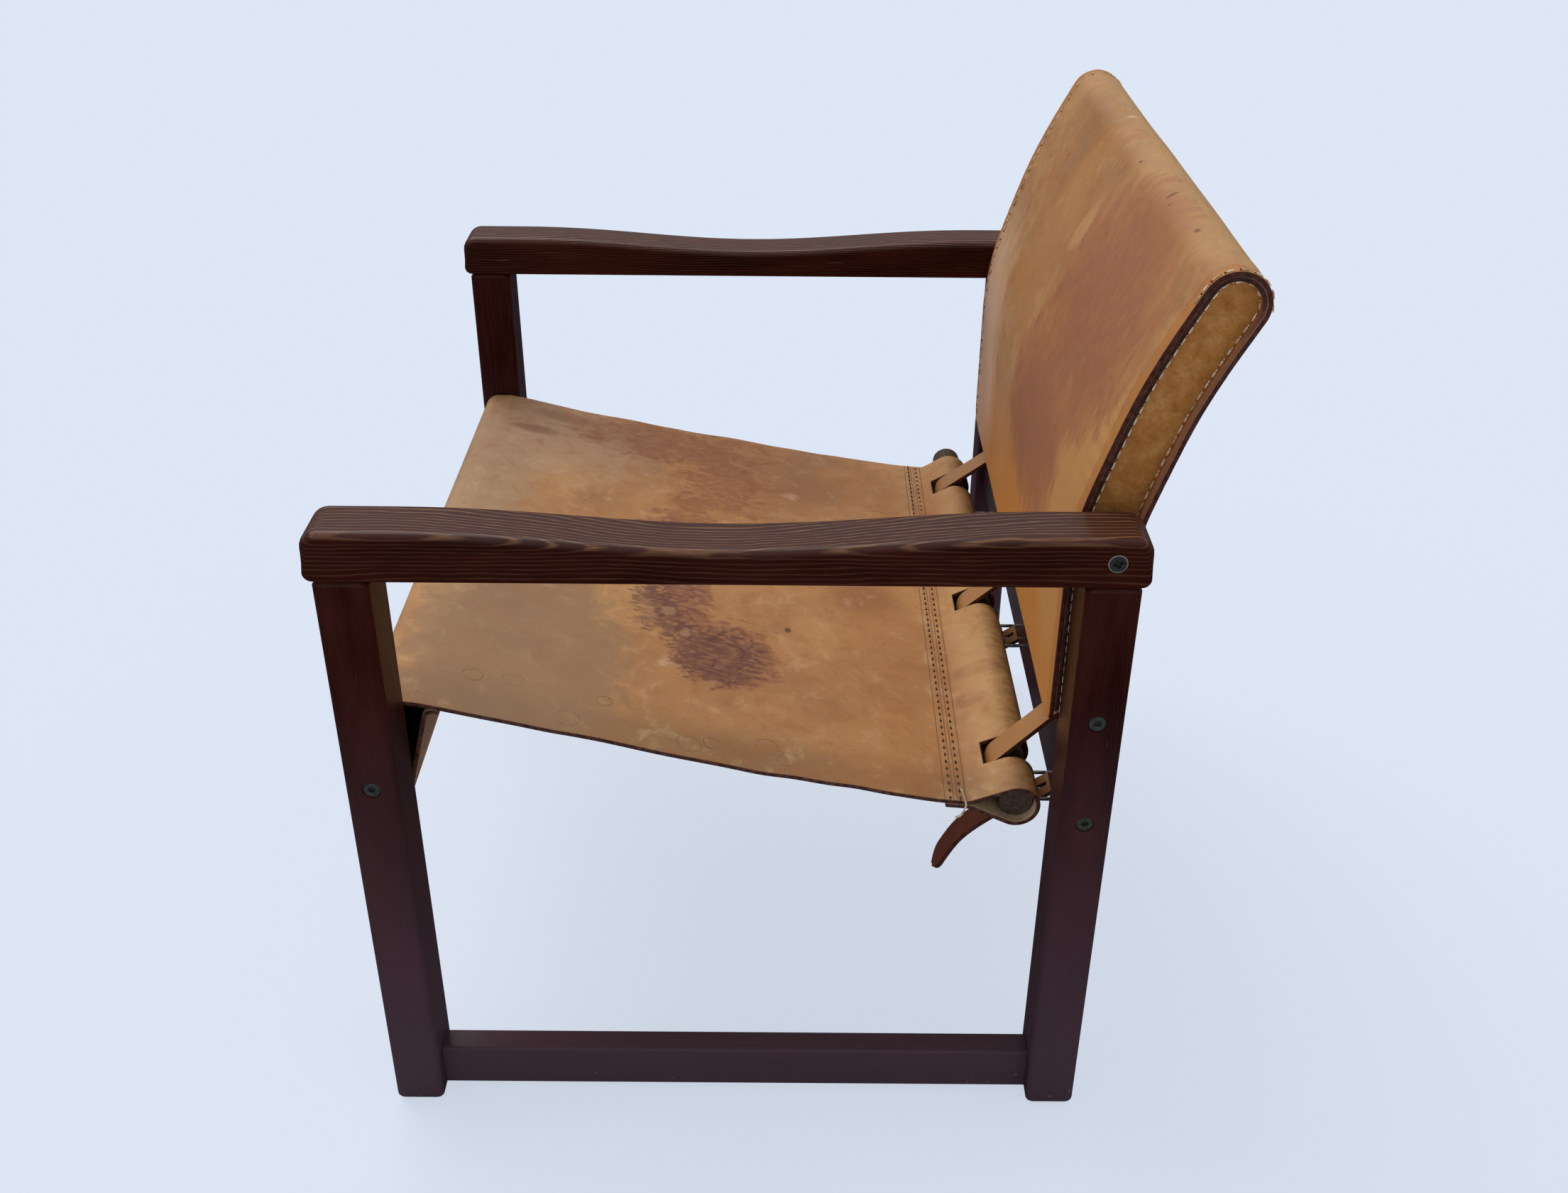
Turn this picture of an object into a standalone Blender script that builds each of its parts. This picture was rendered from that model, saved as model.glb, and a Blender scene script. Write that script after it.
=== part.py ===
"""Low safari armchair: two stained wood side frames bolted to three rails, a thick leather sling
seat on a dowel held by buckled straps, and a tilting back in a leather hood.

The chair stands on Z = 0 with +Z up. It faces -Y, and +X is the sitter's left.
While the pieces are made, Y = 0 is half way between the front and rear legs.
"""

import math

import bmesh
import bpy
from mathutils import Vector

# Clearances
GAP = 0.0003  # left between pieces that bear on each other
OVERRUN = 0.002  # how far a cutter runs past the face that it opens

# Legs
FRAME_DEPTH = 0.550  # front of the front leg to back of the rear leg
CLEAR_WIDTH = 0.554  # between the two side frames
LEG_WIDTH = 0.046  # side to side, also the width of an armrest
LEG_DEPTH = 0.038  # front to back
LEG_HEIGHT = 0.489  # floor to the shoulder under the armrest
LEG_EDGE_RADIUS = 0.0045
FOOT_RADIUS = 0.007
SHOULDER_CHAMFER = 0.003
TENON_WIDTH = 0.024
TENON_DEPTH = 0.020
TENON_LENGTH = 0.012
TENON_EDGE = 0.0015

# Armrests
ARM_THICKNESS = 0.036
ARM_OVERHANG = 0.005
ARM_DIP = 0.011  # how far the top sinks at half length
ARM_EDGE_RADIUS = 0.007  # along the top
ARM_LOW_EDGE_RADIUS = 0.002
ARM_TOP_END_RADIUS = 0.0125
ARM_LOW_END_RADIUS = 0.0065
ARM_DIP_LENGTH_SHARE = 0.86
ARM_DIP_POWER = 1.15  # above 1, the dip runs out more gently at its ends
ARM_DIP_STEPS = 14

# Bottom stretchers
STRETCHER_WIDTH = 0.022
STRETCHER_HEIGHT = 0.0385
STRETCHER_LIFT = 0.0085
STRETCHER_EDGE_RADIUS = 0.003
STRETCHER_TENON_WIDTH = 0.012
STRETCHER_TENON_HEIGHT = 0.026
STRETCHER_TENON_LENGTH = 0.016

# Rails between the side frames
RAIL_THICKNESS = 0.022
FRONT_RAIL_HEIGHT = 0.082
FRONT_RAIL_DROP = 0.2125  # each rail's bottom below the legs' shoulders
FRONT_RAIL_TOP_RADIUS = 0.010
FRONT_RAIL_LOW_RADIUS = 0.004
REAR_RAIL_HEIGHT = 0.073
LOWER_RAIL_DROP = 0.234
UPPER_RAIL_DROP = 0.1455
REAR_RAIL_RADIUS = 0.009

# Bolts through the legs, and the cross nuts that they pull on inside the rails
BOLT_HEAD_RADIUS = 0.0063
BOLT_HEAD_HEIGHT = 0.0042
BOLT_SUNK = 0.0006  # head below the wood
BOLT_EDGE = 0.0007
BOLT_SHANK_RADIUS = 0.003
BOLT_SOCKET_ACROSS = 0.005
BOLT_SOCKET_DEPTH = 0.0028
BOLT_REACH = 0.033  # into the rail
NUT_RADIUS = 0.005
NUT_LENGTH = 0.016
NUT_SETBACK = 0.023  # from the rail's end

# Sling seat
LEATHER = 0.0038
SEAT_SIDE_CLEARANCE = 0.002  # from the leather's edge to the side frame
SEAT_DROP_LEFT = 0.088  # front rail to rear hem, along the left edge
SEAT_DROP_RIGHT = 0.078
HEM_AHEAD = 0.0375  # the hem's bend, ahead of the dowel's centre on the left
HEM_LENGTH = 0.0165
HEM_BEND_RADIUS = 0.010
FLAP_BACK = 0.026  # from the front rail to where the wrap meets the seat
FLAP_LAP = 0.005
FLAP_BEND_RADIUS = 0.006
SLOT_WIDTH = 0.027
SLOT_CORNER = 0.003
SLOT_AHEAD = 0.021  # slot's front end, ahead of the dowel's centre
STRAP_INSET = 0.053  # middle of an outer strap, in from the leather's edge
# run from the front rail, then the drop along the left and right edges
SAG_SHARES = (
    (0.0, 0.0, 0.0),
    (0.055, 0.037, 0.065),
    (0.2, 0.205, 0.255),
    (0.42, 0.455, 0.49),
    (0.62, 0.68, 0.694),
    (0.82, 0.862, 0.876),
    (0.93, 0.965, 0.965),
    (1.0, 1.0, 1.0),
)

# Dowel in the seat's rear hem: the sling has settled, so it lies lower on the left
DOWEL_RADIUS = 0.01375
DOWEL_OUT_RIGHT = 0.026  # past the leather's edge
DOWEL_IN_LEFT = 0.007  # short of the leather's edge
DOWEL_EDGE = 0.001
DOWEL_AHEAD_LEFT = 0.0305  # ahead of the rear lower rail's face
DOWEL_AHEAD_RIGHT = 0.0385
DOWEL_BELOW_LEFT = 0.0222  # below the rail's middle
DOWEL_BELOW_RIGHT = 0.0115

# Straps and buckles
STRAP_WIDTH = 0.024
STRAP_THICKNESS = 0.0036
BUCKLE_WIRE_RADIUS = 0.0015
BUCKLE_WIDTH = 0.034
BUCKLE_LENGTH = 0.020
BUCKLE_CORNER = 0.0045
BUCKLE_UNDER_RAIL = 0.006  # rear bar, behind the rail's front face
PRONG_RADIUS = 0.0011
PRONG_PAST_BAR = 0.0035
PRONG_HOLE_WIDTH = 0.0044
PRONG_HOLE_START_SHARE = 0.2
PRONG_SLOT = 0.006  # slot beside the bar for the prong's eye
PRONG_EYE_START = 140  # degrees round the front bar, to where the prong leaves it
PRONG_EYE_END = 360
PRONG_EYE_STEP = 20
STRAP_FOLD = 0.015
TAIL_REACH = 0.070
TAIL_DROP = 0.074
TAIL_SHARES = ((0.2, 0.06), (0.4, 0.2), (0.6, 0.36), (0.76, 0.53), (0.9, 0.77), (1.0, 1.0))
TAIL_TIP = 0.014  # length over which the strap's end narrows
TIP_END_SHARE = 0.3  # width left at the very end
TIP_ROUNDING = 0.18

# Back
BACK_THICKNESS = 0.047  # hood, outside to outside
BACK_AHEAD = 0.002  # middle of the back, ahead of the rear legs' middle
BACK_BEND_DROP = 0.024  # where the back starts to lean, below the legs' shoulders
BACK_RISE = 0.202  # above the legs' shoulders
BACK_LEAN = 0.0665
# height from where the lean starts, then the lean there
LEAN_SHARES = (
    (0.0, 0.0),
    (0.12, 0.026),
    (0.26, 0.1),
    (0.45, 0.275),
    (0.65, 0.485),
    (0.82, 0.715),
    (1.0, 1.0),
)
HOOD_SIDE_CLEARANCE = 0.002  # from the hood's edge to the side frame
FRONT_HEM_DROP = 0.144  # the hood's hems below the legs' shoulders
REAR_HEM_DROP = 0.064
HEM_CORNER = 0.012
GUSSET_THICKNESS = 0.0033
GUSSET_INSET = 0.0075  # gusset's panel, in from the hood's edge
GUSSET_PANEL_LIFT = 0.024  # panel's lower end above the rear hem
GUSSET_BITE = 0.0004  # panel's faces inside the flange's edge, where the two join
UPRIGHT_WIDTH = 0.034
UPRIGHT_EDGE_RADIUS = 0.003
BACK_RAIL_THICKNESS = 0.022
BACK_TOP_RAIL_HEIGHT = 0.060
BACK_TOP_RAIL_DROP = 0.052  # middle of the rail below the hood's top
BACK_LOW_RAIL_HEIGHT = 0.045
BACK_LOW_RAIL_LIFT = 0.030  # middle of the rail above the upright's foot
BACK_RAIL_EDGE_RADIUS = 0.003

# Pivot of the back
PIVOT_HEIGHT_IN_ARM = 0.0185
PIVOT_SHANK_RADIUS = 0.0035
PIVOT_HEAD_RADIUS = 0.0068
PIVOT_HEAD_HEIGHT = 0.004
PIVOT_SUNK = 0.0005
PIVOT_EDGE = 0.0008
PIVOT_CROSS_LENGTH = 0.0034
PIVOT_CROSS_WIDTH = 0.0012
PIVOT_CROSS_DEPTH = 0.0022
PIVOT_REACH = 0.024  # into the upright
INSERT_RADIUS = 0.0055
INSERT_LENGTH = 0.026
SPACER_RADIUS = 0.008

# Facets
TURN_STEPS = 18  # bolts; a multiple of six, for the hexagon socket
SCREW_STEPS = 24  # pivot screws; a multiple of four, for the cross recess
DOWEL_STEPS = 24
HIDDEN_STEPS = 12  # bores and fittings inside the wood
WIRE_STEPS = 6
EDGE_STEPS = 2
CORNER_STEPS = 3
TOP_STEPS = 12  # over the round top of the back
CURVE_STEPS = 2  # from each point of a table to the next
FINE_CURVE_STEPS = 6
WRAP_STEPS = (1, 4, 4, 4, 5, 1)  # seat leather: one number for each wheel of its path
ROLL_STEPS = (1, 3, 18, 3, 1)
STRAP_STEPS = (1, 6, 10, 3, 4, 5, 3, 4, 1)
SHARP_EDGE = 32  # degrees; flatter edges are shaded smooth

# Places worked out from the sizes above
SIDE_X = (CLEAR_WIDTH + LEG_WIDTH) / 2
OUTER_X = CLEAR_WIDTH / 2 + LEG_WIDTH
LEG_Y = (FRAME_DEPTH - LEG_DEPTH) / 2
ARM_BOTTOM = LEG_HEIGHT + GAP
PIVOT_Z = ARM_BOTTOM + PIVOT_HEIGHT_IN_ARM
REAR_RAIL_FRONT = LEG_Y - RAIL_THICKNESS / 2
FRONT_RAIL_BOTTOM = LEG_HEIGHT - FRONT_RAIL_DROP
LOWER_RAIL_BOTTOM = LEG_HEIGHT - LOWER_RAIL_DROP
UPPER_RAIL_BOTTOM = LEG_HEIGHT - UPPER_RAIL_DROP
SEAT_WIDTH = CLEAR_WIDTH - 2 * SEAT_SIDE_CLEARANCE
STRAP_SPACING = SEAT_WIDTH / 2 - STRAP_INSET
HOOD_WIDTH = CLEAR_WIDTH - 2 * HOOD_SIDE_CLEARANCE
FRONT_HEM_HEIGHT = LEG_HEIGHT - FRONT_HEM_DROP
REAR_HEM_HEIGHT = LEG_HEIGHT - REAR_HEM_DROP
BACK_BEND_START = LEG_HEIGHT - BACK_BEND_DROP
BACK_TOP = LEG_HEIGHT + BACK_RISE
BACK_HALF = BACK_THICKNESS / 2
BACK_Y = LEG_Y - BACK_AHEAD
BACK_END_Z = BACK_TOP - BACK_HALF
GUSSET_X = HOOD_WIDTH / 2 - GUSSET_INSET
UPRIGHT_X = GUSSET_X - GUSSET_THICKNESS - GAP
QUARTER = math.pi / 2
NEAR_ZERO = 1e-6

FINISHES = {
    "stained_wood": ("#2E1613", 0.42, 0.0),
    "raw_wood": ("#6B5444", 0.8, 0.0),
    "saddle_leather": ("#B0804F", 0.55, 0.0),
    "strap_leather": ("#B9834A", 0.5, 0.0),
    "suede": ("#8A6436", 0.9, 0.0),
    "black_steel": ("#33352F", 0.4, 0.9),
    "bright_steel": ("#9A9894", 0.3, 1.0),
}


def linear(hex_colour):
    """sRGB hex text as linear red, green, blue and an alpha of 1."""
    channels = [int(hex_colour[i : i + 2], 16) / 255 for i in (1, 3, 5)]
    return [c / 12.92 if c <= 0.04045 else ((c + 0.055) / 1.055) ** 2.4 for c in channels] + [1.0]


def make_material(name, finish):
    colour, roughness, metallic = FINISHES[finish]
    material = bpy.data.materials.new(name)
    material.use_nodes = True
    shader = material.node_tree.nodes["Principled BSDF"]
    shader.inputs["Base Color"].default_value = linear(colour)
    shader.inputs["Roughness"].default_value = roughness
    shader.inputs["Metallic"].default_value = metallic
    return material


def clear_scene():
    for obj in list(bpy.data.objects):
        bpy.data.objects.remove(obj, do_unlink=True)


def make_empty(name, place, parent=None):
    empty = bpy.data.objects.new(name, None)
    empty.location = place
    empty.parent = parent
    bpy.context.scene.collection.objects.link(empty)
    return empty


def add_solid(name, shape, finish, carrier):
    """Closed mesh with its faces turned out, hung on an empty whose place is the mesh's origin."""
    points, faces = shape
    mesh = bpy.data.meshes.new(name)
    mesh.from_pydata([Vector(p) - carrier.location for p in points], [], faces)
    work = bmesh.new()
    work.from_mesh(mesh)
    bmesh.ops.delete(work, geom=[v for v in work.verts if not v.link_faces], context="VERTS")
    bmesh.ops.recalc_face_normals(work, faces=work.faces)
    work.to_mesh(mesh)
    work.free()
    mesh.shade_smooth()
    mesh.set_sharp_from_angle(angle=math.radians(SHARP_EDGE))
    mesh.materials.append(make_material(name, finish))
    obj = bpy.data.objects.new(name, mesh)
    obj.parent = carrier
    bpy.context.scene.collection.objects.link(obj)
    return obj


def use_tool(target, tool, operation="DIFFERENCE"):
    """Boolean with a helper object, which stays out of the model."""
    tool.hide_render = True
    tool.display_type = "WIRE"
    modifier = target.modifiers.new(tool.name, "BOOLEAN")
    modifier.operation = operation
    modifier.solver = "EXACT"
    modifier.object = tool


# Shapes

def loft(rings, closed=False):
    """Skin over rings of equal length, capped at both ends unless it closes on itself."""
    count = len(rings[0])
    points = [point for ring in rings for point in ring]
    faces = []
    for level in range(len(rings) if closed else len(rings) - 1):
        low = level * count
        high = (level + 1) % len(rings) * count
        for i in range(count):
            j = (i + 1) % count
            faces.append((low + i, low + j, high + j, high + i))
    if not closed:
        faces.append(tuple(range(count)))
        faces.append(tuple(range(len(points) - count, len(points))))
    return points, faces


def rounded_rectangle(half_a, half_b, radii, steps=CORNER_STEPS):
    """Outline about the origin, from the first quadrant round; one radius for each corner."""
    signs = ((1, 1), (-1, 1), (-1, -1), (1, -1))
    outline = []
    for quarter, ((sign_a, sign_b), radius) in enumerate(zip(signs, radii)):
        for step in range(steps + 1):
            angle = QUARTER * (quarter + step / steps)
            a = sign_a * (half_a - radius) + radius * math.cos(angle)
            b = sign_b * (half_b - radius) + radius * math.sin(angle)
            outline.append((a, b))
    return outline


def round_ring(radius, steps=TURN_STEPS):
    turns = [2 * math.pi * i / steps for i in range(steps)]
    return [(radius * math.cos(a), radius * math.sin(a)) for a in turns]


def hexagon_ring(across, steps=TURN_STEPS):
    """Hexagon with as many points as the round rings that it joins."""
    ring = []
    for i in range(steps):
        angle = 2 * math.pi * i / steps
        from_flat = angle % (math.pi / 3) - math.pi / 6
        radius = across / 2 / math.cos(from_flat)
        ring.append((radius * math.cos(angle), radius * math.sin(angle)))
    return ring


def cross_ring(length, width, steps=SCREW_STEPS):
    """Cross recess with as many points as the round rings that it joins."""
    ring = []
    for i in range(steps):
        angle = 2 * math.pi * i / steps
        a = max(abs(math.cos(angle)), NEAR_ZERO)
        b = max(abs(math.sin(angle)), NEAR_ZERO)
        radius = max(min(length / a, width / b), min(width / a, length / b))
        ring.append((radius * math.cos(angle), radius * math.sin(angle)))
    return ring


def along_x(rings, y, z):
    """Rings given as (x, outline) stood square to X about a line at y and z."""
    return [[(x, y + a, z + b) for a, b in outline] for x, outline in rings]


def along_y(rings, x, z):
    return [[(x + a, y, z + b) for a, b in outline] for y, outline in rings]


def along_z(rings, x, y):
    return [[(x + a, y + b, z) for a, b in outline] for z, outline in rings]


def block(low, high):
    (x0, y0, z0), (x1, y1, z1) = low, high
    outline = [(x0, y0), (x1, y0), (x1, y1), (x0, y1)]
    return loft([[(x, y, z) for x, y in outline] for z in (z0, z1)])


def rod_x(x0, x1, y, z, radius):
    ring = round_ring(radius, HIDDEN_STEPS)
    return loft(along_x([(x0, ring), (x1, ring)], y, z))


def tube_x(x0, x1, y, z, outer_radius, inner_radius):
    outer = round_ring(outer_radius, HIDDEN_STEPS)
    inner = round_ring(inner_radius, HIDDEN_STEPS)
    return loft(along_x([(x0, outer), (x1, outer), (x1, inner), (x0, inner)], y, z), closed=True)


def wire(path, radius, closed=False):
    """Round wire along points; its sections turn with the path."""
    rings = []
    count = len(path)
    side = Vector((0, 0, 1)) if closed else Vector((1, 0, 0))
    for i, point in enumerate(path):
        before = path[i - 1] if closed or i else point
        after = path[(i + 1) % count] if closed or i < count - 1 else point
        heading = (Vector(after) - Vector(before)).normalized()
        across = heading.cross(side).normalized()
        rings.append([Vector(point) + across * a + side * b for a, b in round_ring(radius, WIRE_STEPS)])
    return loft(rings, closed)


def strip(columns, thickness, holes=()):
    """Sheet over a grid of middle points, columns[j][i], with the cells named in holes left open."""
    count = len(columns[0])
    points = []
    for column in columns:
        for i, point in enumerate(column):
            before = column[max(i - 1, 0)]
            after = column[min(i + 1, count - 1)]
            heading = Vector((0, after[1] - before[1], after[2] - before[2])).normalized()
            normal = Vector((0, -heading.z, heading.y)) * thickness / 2
            points.append(Vector(point) + normal)
            points.append(Vector(point) - normal)
    cells = {(j, i) for j in range(len(columns) - 1) for i in range(count - 1)} - set(holes)

    def corner(j, i, under):
        return 2 * (j * count + i) + under

    faces = []
    for j, i in sorted(cells):
        for under in (0, 1):
            around = ((j, i), (j + 1, i), (j + 1, i + 1), (j, i + 1))
            faces.append([corner(*place, under) for place in around])
        edges = {
            (j - 1, i): ((j, i), (j, i + 1)),
            (j + 1, i): ((j + 1, i), (j + 1, i + 1)),
            (j, i - 1): ((j, i), (j + 1, i)),
            (j, i + 1): ((j, i + 1), (j + 1, i + 1)),
        }
        for neighbour, (start, end) in edges.items():
            if neighbour not in cells:
                faces.append([corner(*start, 0), corner(*end, 0), corner(*end, 1), corner(*start, 1)])
    return points, faces


# Paths in the side view, as (y, z)

def heading_between(first, second):
    """Direction of the line that touches two wheels; a wheel turned clockwise has a negative radius."""
    (y1, z1, r1), (y2, z2, r2) = first, second
    shift = r2 - r1
    run = math.sqrt((y2 - y1) ** 2 + (z2 - z1) ** 2 - shift**2)
    return math.atan2(z2 - z1, y2 - y1) - math.atan2(shift, run)


def belt(wheels, steps):
    """Arcs of a belt round the wheels (y, z, signed radius); an end, or a bare point, has radius 0."""
    headings = [heading_between(a, b) for a, b in zip(wheels, wheels[1:])]
    arcs = []
    for i, ((y, z, radius), count) in enumerate(zip(wheels, steps)):
        if not radius:
            arcs.append([(y, z)])
            continue
        sign = math.copysign(1, radius)
        turn = (headings[i] - headings[i - 1]) * sign % (2 * math.pi)
        angles = [headings[i - 1] + sign * turn * k / count for k in range(count + 1)]
        arcs.append([(y + radius * math.sin(a), z - radius * math.cos(a)) for a in angles])
    return arcs


def between(first, second, share):
    return tuple(a + (b - a) * share for a, b in zip(first, second))


def smooth(points, steps):
    """Curve through the points, with a few short steps from each to the next."""
    padded = [between(points[1], points[0], 2)] + list(points) + [between(points[-2], points[-1], 2)]
    curve = []
    for p0, p1, p2, p3 in zip(padded, padded[1:], padded[2:], padded[3:]):
        for k in range(steps):
            t = k / steps
            curve.append(tuple(
                b + 0.5 * t * (c - a + t * (2 * a - 5 * b + 4 * c - d + t * (3 * b - a - 3 * c + d)))
                for a, b, c, d in zip(p0, p1, p2, p3)
            ))
    return curve + [tuple(points[-1])]


# Side frames

def make_leg(name, side, y, bolt_heights, towards, frame):
    """Leg with a rounded foot, a tenon for the armrest, bolt holes and a mortise for the stretcher."""
    half_x, half_y = LEG_WIDTH / 2, LEG_DEPTH / 2
    edge = [LEG_EDGE_RADIUS] * 4
    rings = []
    for step in range(CORNER_STEPS + 1):
        angle = QUARTER * step / CORNER_STEPS
        inset = FOOT_RADIUS * (1 - math.sin(angle))
        rise = FOOT_RADIUS * (1 - math.cos(angle))
        rings.append((rise, rounded_rectangle(half_x - inset, half_y - inset, edge)))
    rings.append((LEG_HEIGHT - SHOULDER_CHAMFER, rounded_rectangle(half_x, half_y, edge)))
    shoulder = rounded_rectangle(half_x - SHOULDER_CHAMFER, half_y - SHOULDER_CHAMFER, edge)
    tenon = rounded_rectangle(TENON_WIDTH / 2, TENON_DEPTH / 2, [TENON_EDGE] * 4)
    tip = rounded_rectangle(TENON_WIDTH / 2 - TENON_EDGE, TENON_DEPTH / 2 - TENON_EDGE, [TENON_EDGE] * 4)
    top = LEG_HEIGHT + TENON_LENGTH
    rings += [(LEG_HEIGHT, shoulder), (LEG_HEIGHT, tenon), (top - TENON_EDGE, tenon), (top, tip)]
    leg = add_solid(name, loft(along_z(rings, side * SIDE_X, y)), "stained_wood", frame)

    depth = STRETCHER_TENON_LENGTH + GAP
    inner_face = y + towards * half_y
    half_w = STRETCHER_TENON_WIDTH / 2 + GAP
    half_h = STRETCHER_TENON_HEIGHT / 2 + GAP
    middle = STRETCHER_LIFT + STRETCHER_HEIGHT / 2
    near, far = sorted((inner_face + towards * OVERRUN, inner_face - towards * depth))
    x = side * SIDE_X
    mortise = block((x - half_w, near, middle - half_h), (x + half_w, far, middle + half_h))
    use_tool(leg, add_solid(name + "_mortise_tool", mortise, "raw_wood", frame))
    for number, height in enumerate(bolt_heights, 1):
        seat = OUTER_X - BOLT_SUNK - BOLT_HEAD_HEIGHT - GAP
        hole_radius = BOLT_SHANK_RADIUS + GAP
        rings = [
            (side * (CLEAR_WIDTH / 2 - OVERRUN), round_ring(hole_radius)),
            (side * seat, round_ring(hole_radius)),
            (side * seat, round_ring(BOLT_HEAD_RADIUS + GAP)),
            (side * (OUTER_X + OVERRUN), round_ring(BOLT_HEAD_RADIUS + GAP)),
        ]
        hole = loft(along_x(rings, y, height))
        use_tool(leg, add_solid(f"{name}_bolt_tool_{number}", hole, "raw_wood", frame))


def arm_outline(inset, low_inset):
    """Side view of an armrest, shrunk by insets: flat below, rounded ends, and a dip in the top."""
    half = FRAME_DEPTH / 2 + ARM_OVERHANG - inset
    low_half = FRAME_DEPTH / 2 + ARM_OVERHANG - low_inset
    low = ARM_BOTTOM + low_inset
    high = ARM_BOTTOM + ARM_THICKNESS - inset
    low_radius = ARM_LOW_END_RADIUS - low_inset
    top_radius = ARM_TOP_END_RADIUS - inset
    outline = []
    for sign in (1, -1):
        end = []
        for a in quarter_angles():
            end.append((low_half - low_radius * (1 - math.sin(a)), low + low_radius * (1 - math.cos(a))))
        for a in quarter_angles():
            end.append((half - top_radius * (1 - math.cos(a)), high - top_radius * (1 - math.sin(a))))
        outline += [(sign * y, z) for y, z in (end if sign > 0 else reversed(end))]
        if sign > 0:
            span = (half - top_radius) * ARM_DIP_LENGTH_SHARE
            for k in range(ARM_DIP_STEPS + 1):
                along = 1 - 2 * k / ARM_DIP_STEPS
                sink = ARM_DIP * ((1 + math.cos(math.pi * along)) / 2) ** ARM_DIP_POWER
                outline.append((span * along, high - sink))
    return outline


def quarter_angles():
    return [QUARTER * k / CORNER_STEPS for k in range(CORNER_STEPS + 1)]


def make_armrest(name, side, frame):
    rings = []
    for end in (1, -1):
        for step in range(EDGE_STEPS + 1):
            angle = QUARTER * (step if end > 0 else EDGE_STEPS - step) / EDGE_STEPS
            inset = ARM_EDGE_RADIUS * (1 - math.sin(angle))
            from_side = ARM_EDGE_RADIUS * (1 - math.cos(angle))
            x = LEG_WIDTH / 2 - from_side
            level = max(0, ARM_LOW_EDGE_RADIUS - from_side)
            low_inset = ARM_LOW_EDGE_RADIUS - math.sqrt(ARM_LOW_EDGE_RADIUS**2 - level**2)
            rings.append([(side * SIDE_X + end * x, y, z) for y, z in arm_outline(inset, low_inset)])
    arm = add_solid(name, loft(rings), "stained_wood", frame)
    half_w, half_d = TENON_WIDTH / 2 + GAP, TENON_DEPTH / 2 + GAP
    for place, y in (("front", -LEG_Y), ("rear", LEG_Y)):
        low = (side * SIDE_X - half_w, y - half_d, ARM_BOTTOM - OVERRUN)
        high = (side * SIDE_X + half_w, y + half_d, LEG_HEIGHT + TENON_LENGTH + GAP)
        use_tool(arm, add_solid(f"{name}_{place}_mortise_tool", block(low, high), "raw_wood", frame))
    seat = OUTER_X - PIVOT_SUNK - PIVOT_HEAD_HEIGHT - GAP
    narrow = round_ring(PIVOT_SHANK_RADIUS + GAP, SCREW_STEPS)
    wide = round_ring(PIVOT_HEAD_RADIUS + GAP, SCREW_STEPS)
    rings = [
        (side * (CLEAR_WIDTH / 2 - OVERRUN), narrow),
        (side * seat, narrow),
        (side * seat, wide),
        (side * (OUTER_X + OVERRUN), wide),
    ]
    hole = loft(along_x(rings, LEG_Y, PIVOT_Z))
    use_tool(arm, add_solid(name + "_pivot_tool", hole, "raw_wood", frame))


def make_stretcher(name, side, frame):
    """Rounded bar between the legs, with a tenon at each end."""
    face = LEG_Y - LEG_DEPTH / 2 - GAP
    bar = rounded_rectangle(STRETCHER_WIDTH / 2, STRETCHER_HEIGHT / 2, [STRETCHER_EDGE_RADIUS] * 4)
    tenon = rounded_rectangle(STRETCHER_TENON_WIDTH / 2, STRETCHER_TENON_HEIGHT / 2, [TENON_EDGE] * 4)
    end = face + STRETCHER_TENON_LENGTH
    rings = [(-end, tenon), (-face, tenon), (-face, bar), (face, bar), (face, tenon), (end, tenon)]
    shape = loft(along_y(rings, side * SIDE_X, STRETCHER_LIFT + STRETCHER_HEIGHT / 2))
    add_solid(name, shape, "stained_wood", frame)


def make_side_frame(word, side, frame):
    front_bolts = [FRONT_RAIL_BOTTOM + FRONT_RAIL_HEIGHT / 2]
    rear_bolts = [LOWER_RAIL_BOTTOM + REAR_RAIL_HEIGHT / 2, UPPER_RAIL_BOTTOM + REAR_RAIL_HEIGHT / 2]
    make_leg("front_leg_" + word, side, -LEG_Y, front_bolts, 1, frame)
    make_leg("rear_leg_" + word, side, LEG_Y, rear_bolts, -1, frame)
    make_armrest("armrest_" + word, side, frame)
    make_stretcher("bottom_stretcher_" + word, side, frame)


# Rails, bolts and cross nuts

def make_rail(name, y, bottom, height, radii, nut_from, frame):
    """Rail between the side frames, drilled at each end for a bolt and across for its nut."""
    end = CLEAR_WIDTH / 2 - GAP
    middle = bottom + height / 2
    section = rounded_rectangle(RAIL_THICKNESS / 2, height / 2, radii)
    rail = add_solid(name, loft(along_x([(-end, section), (end, section)], y, middle)), "stained_wood", frame)
    for word, side in (("left", 1), ("right", -1)):
        bore_end = end - BOLT_REACH - GAP
        hole = rod_x(side * bore_end, side * (end + OVERRUN), y, middle, BOLT_SHANK_RADIUS + GAP)
        use_tool(rail, add_solid(f"{name}_bolt_tool_{word}", hole, "raw_wood", frame))
        ring = round_ring(NUT_RADIUS + GAP, HIDDEN_STEPS)
        mouth = y + nut_from * (RAIL_THICKNESS / 2 + OVERRUN)
        floor = y - nut_from * (NUT_LENGTH / 2 + GAP)
        pocket = loft(along_y([(floor, ring), (mouth, ring)], side * (end - NUT_SETBACK), middle))
        use_tool(rail, add_solid(f"{name}_nut_tool_{word}", pocket, "raw_wood", frame))


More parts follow.
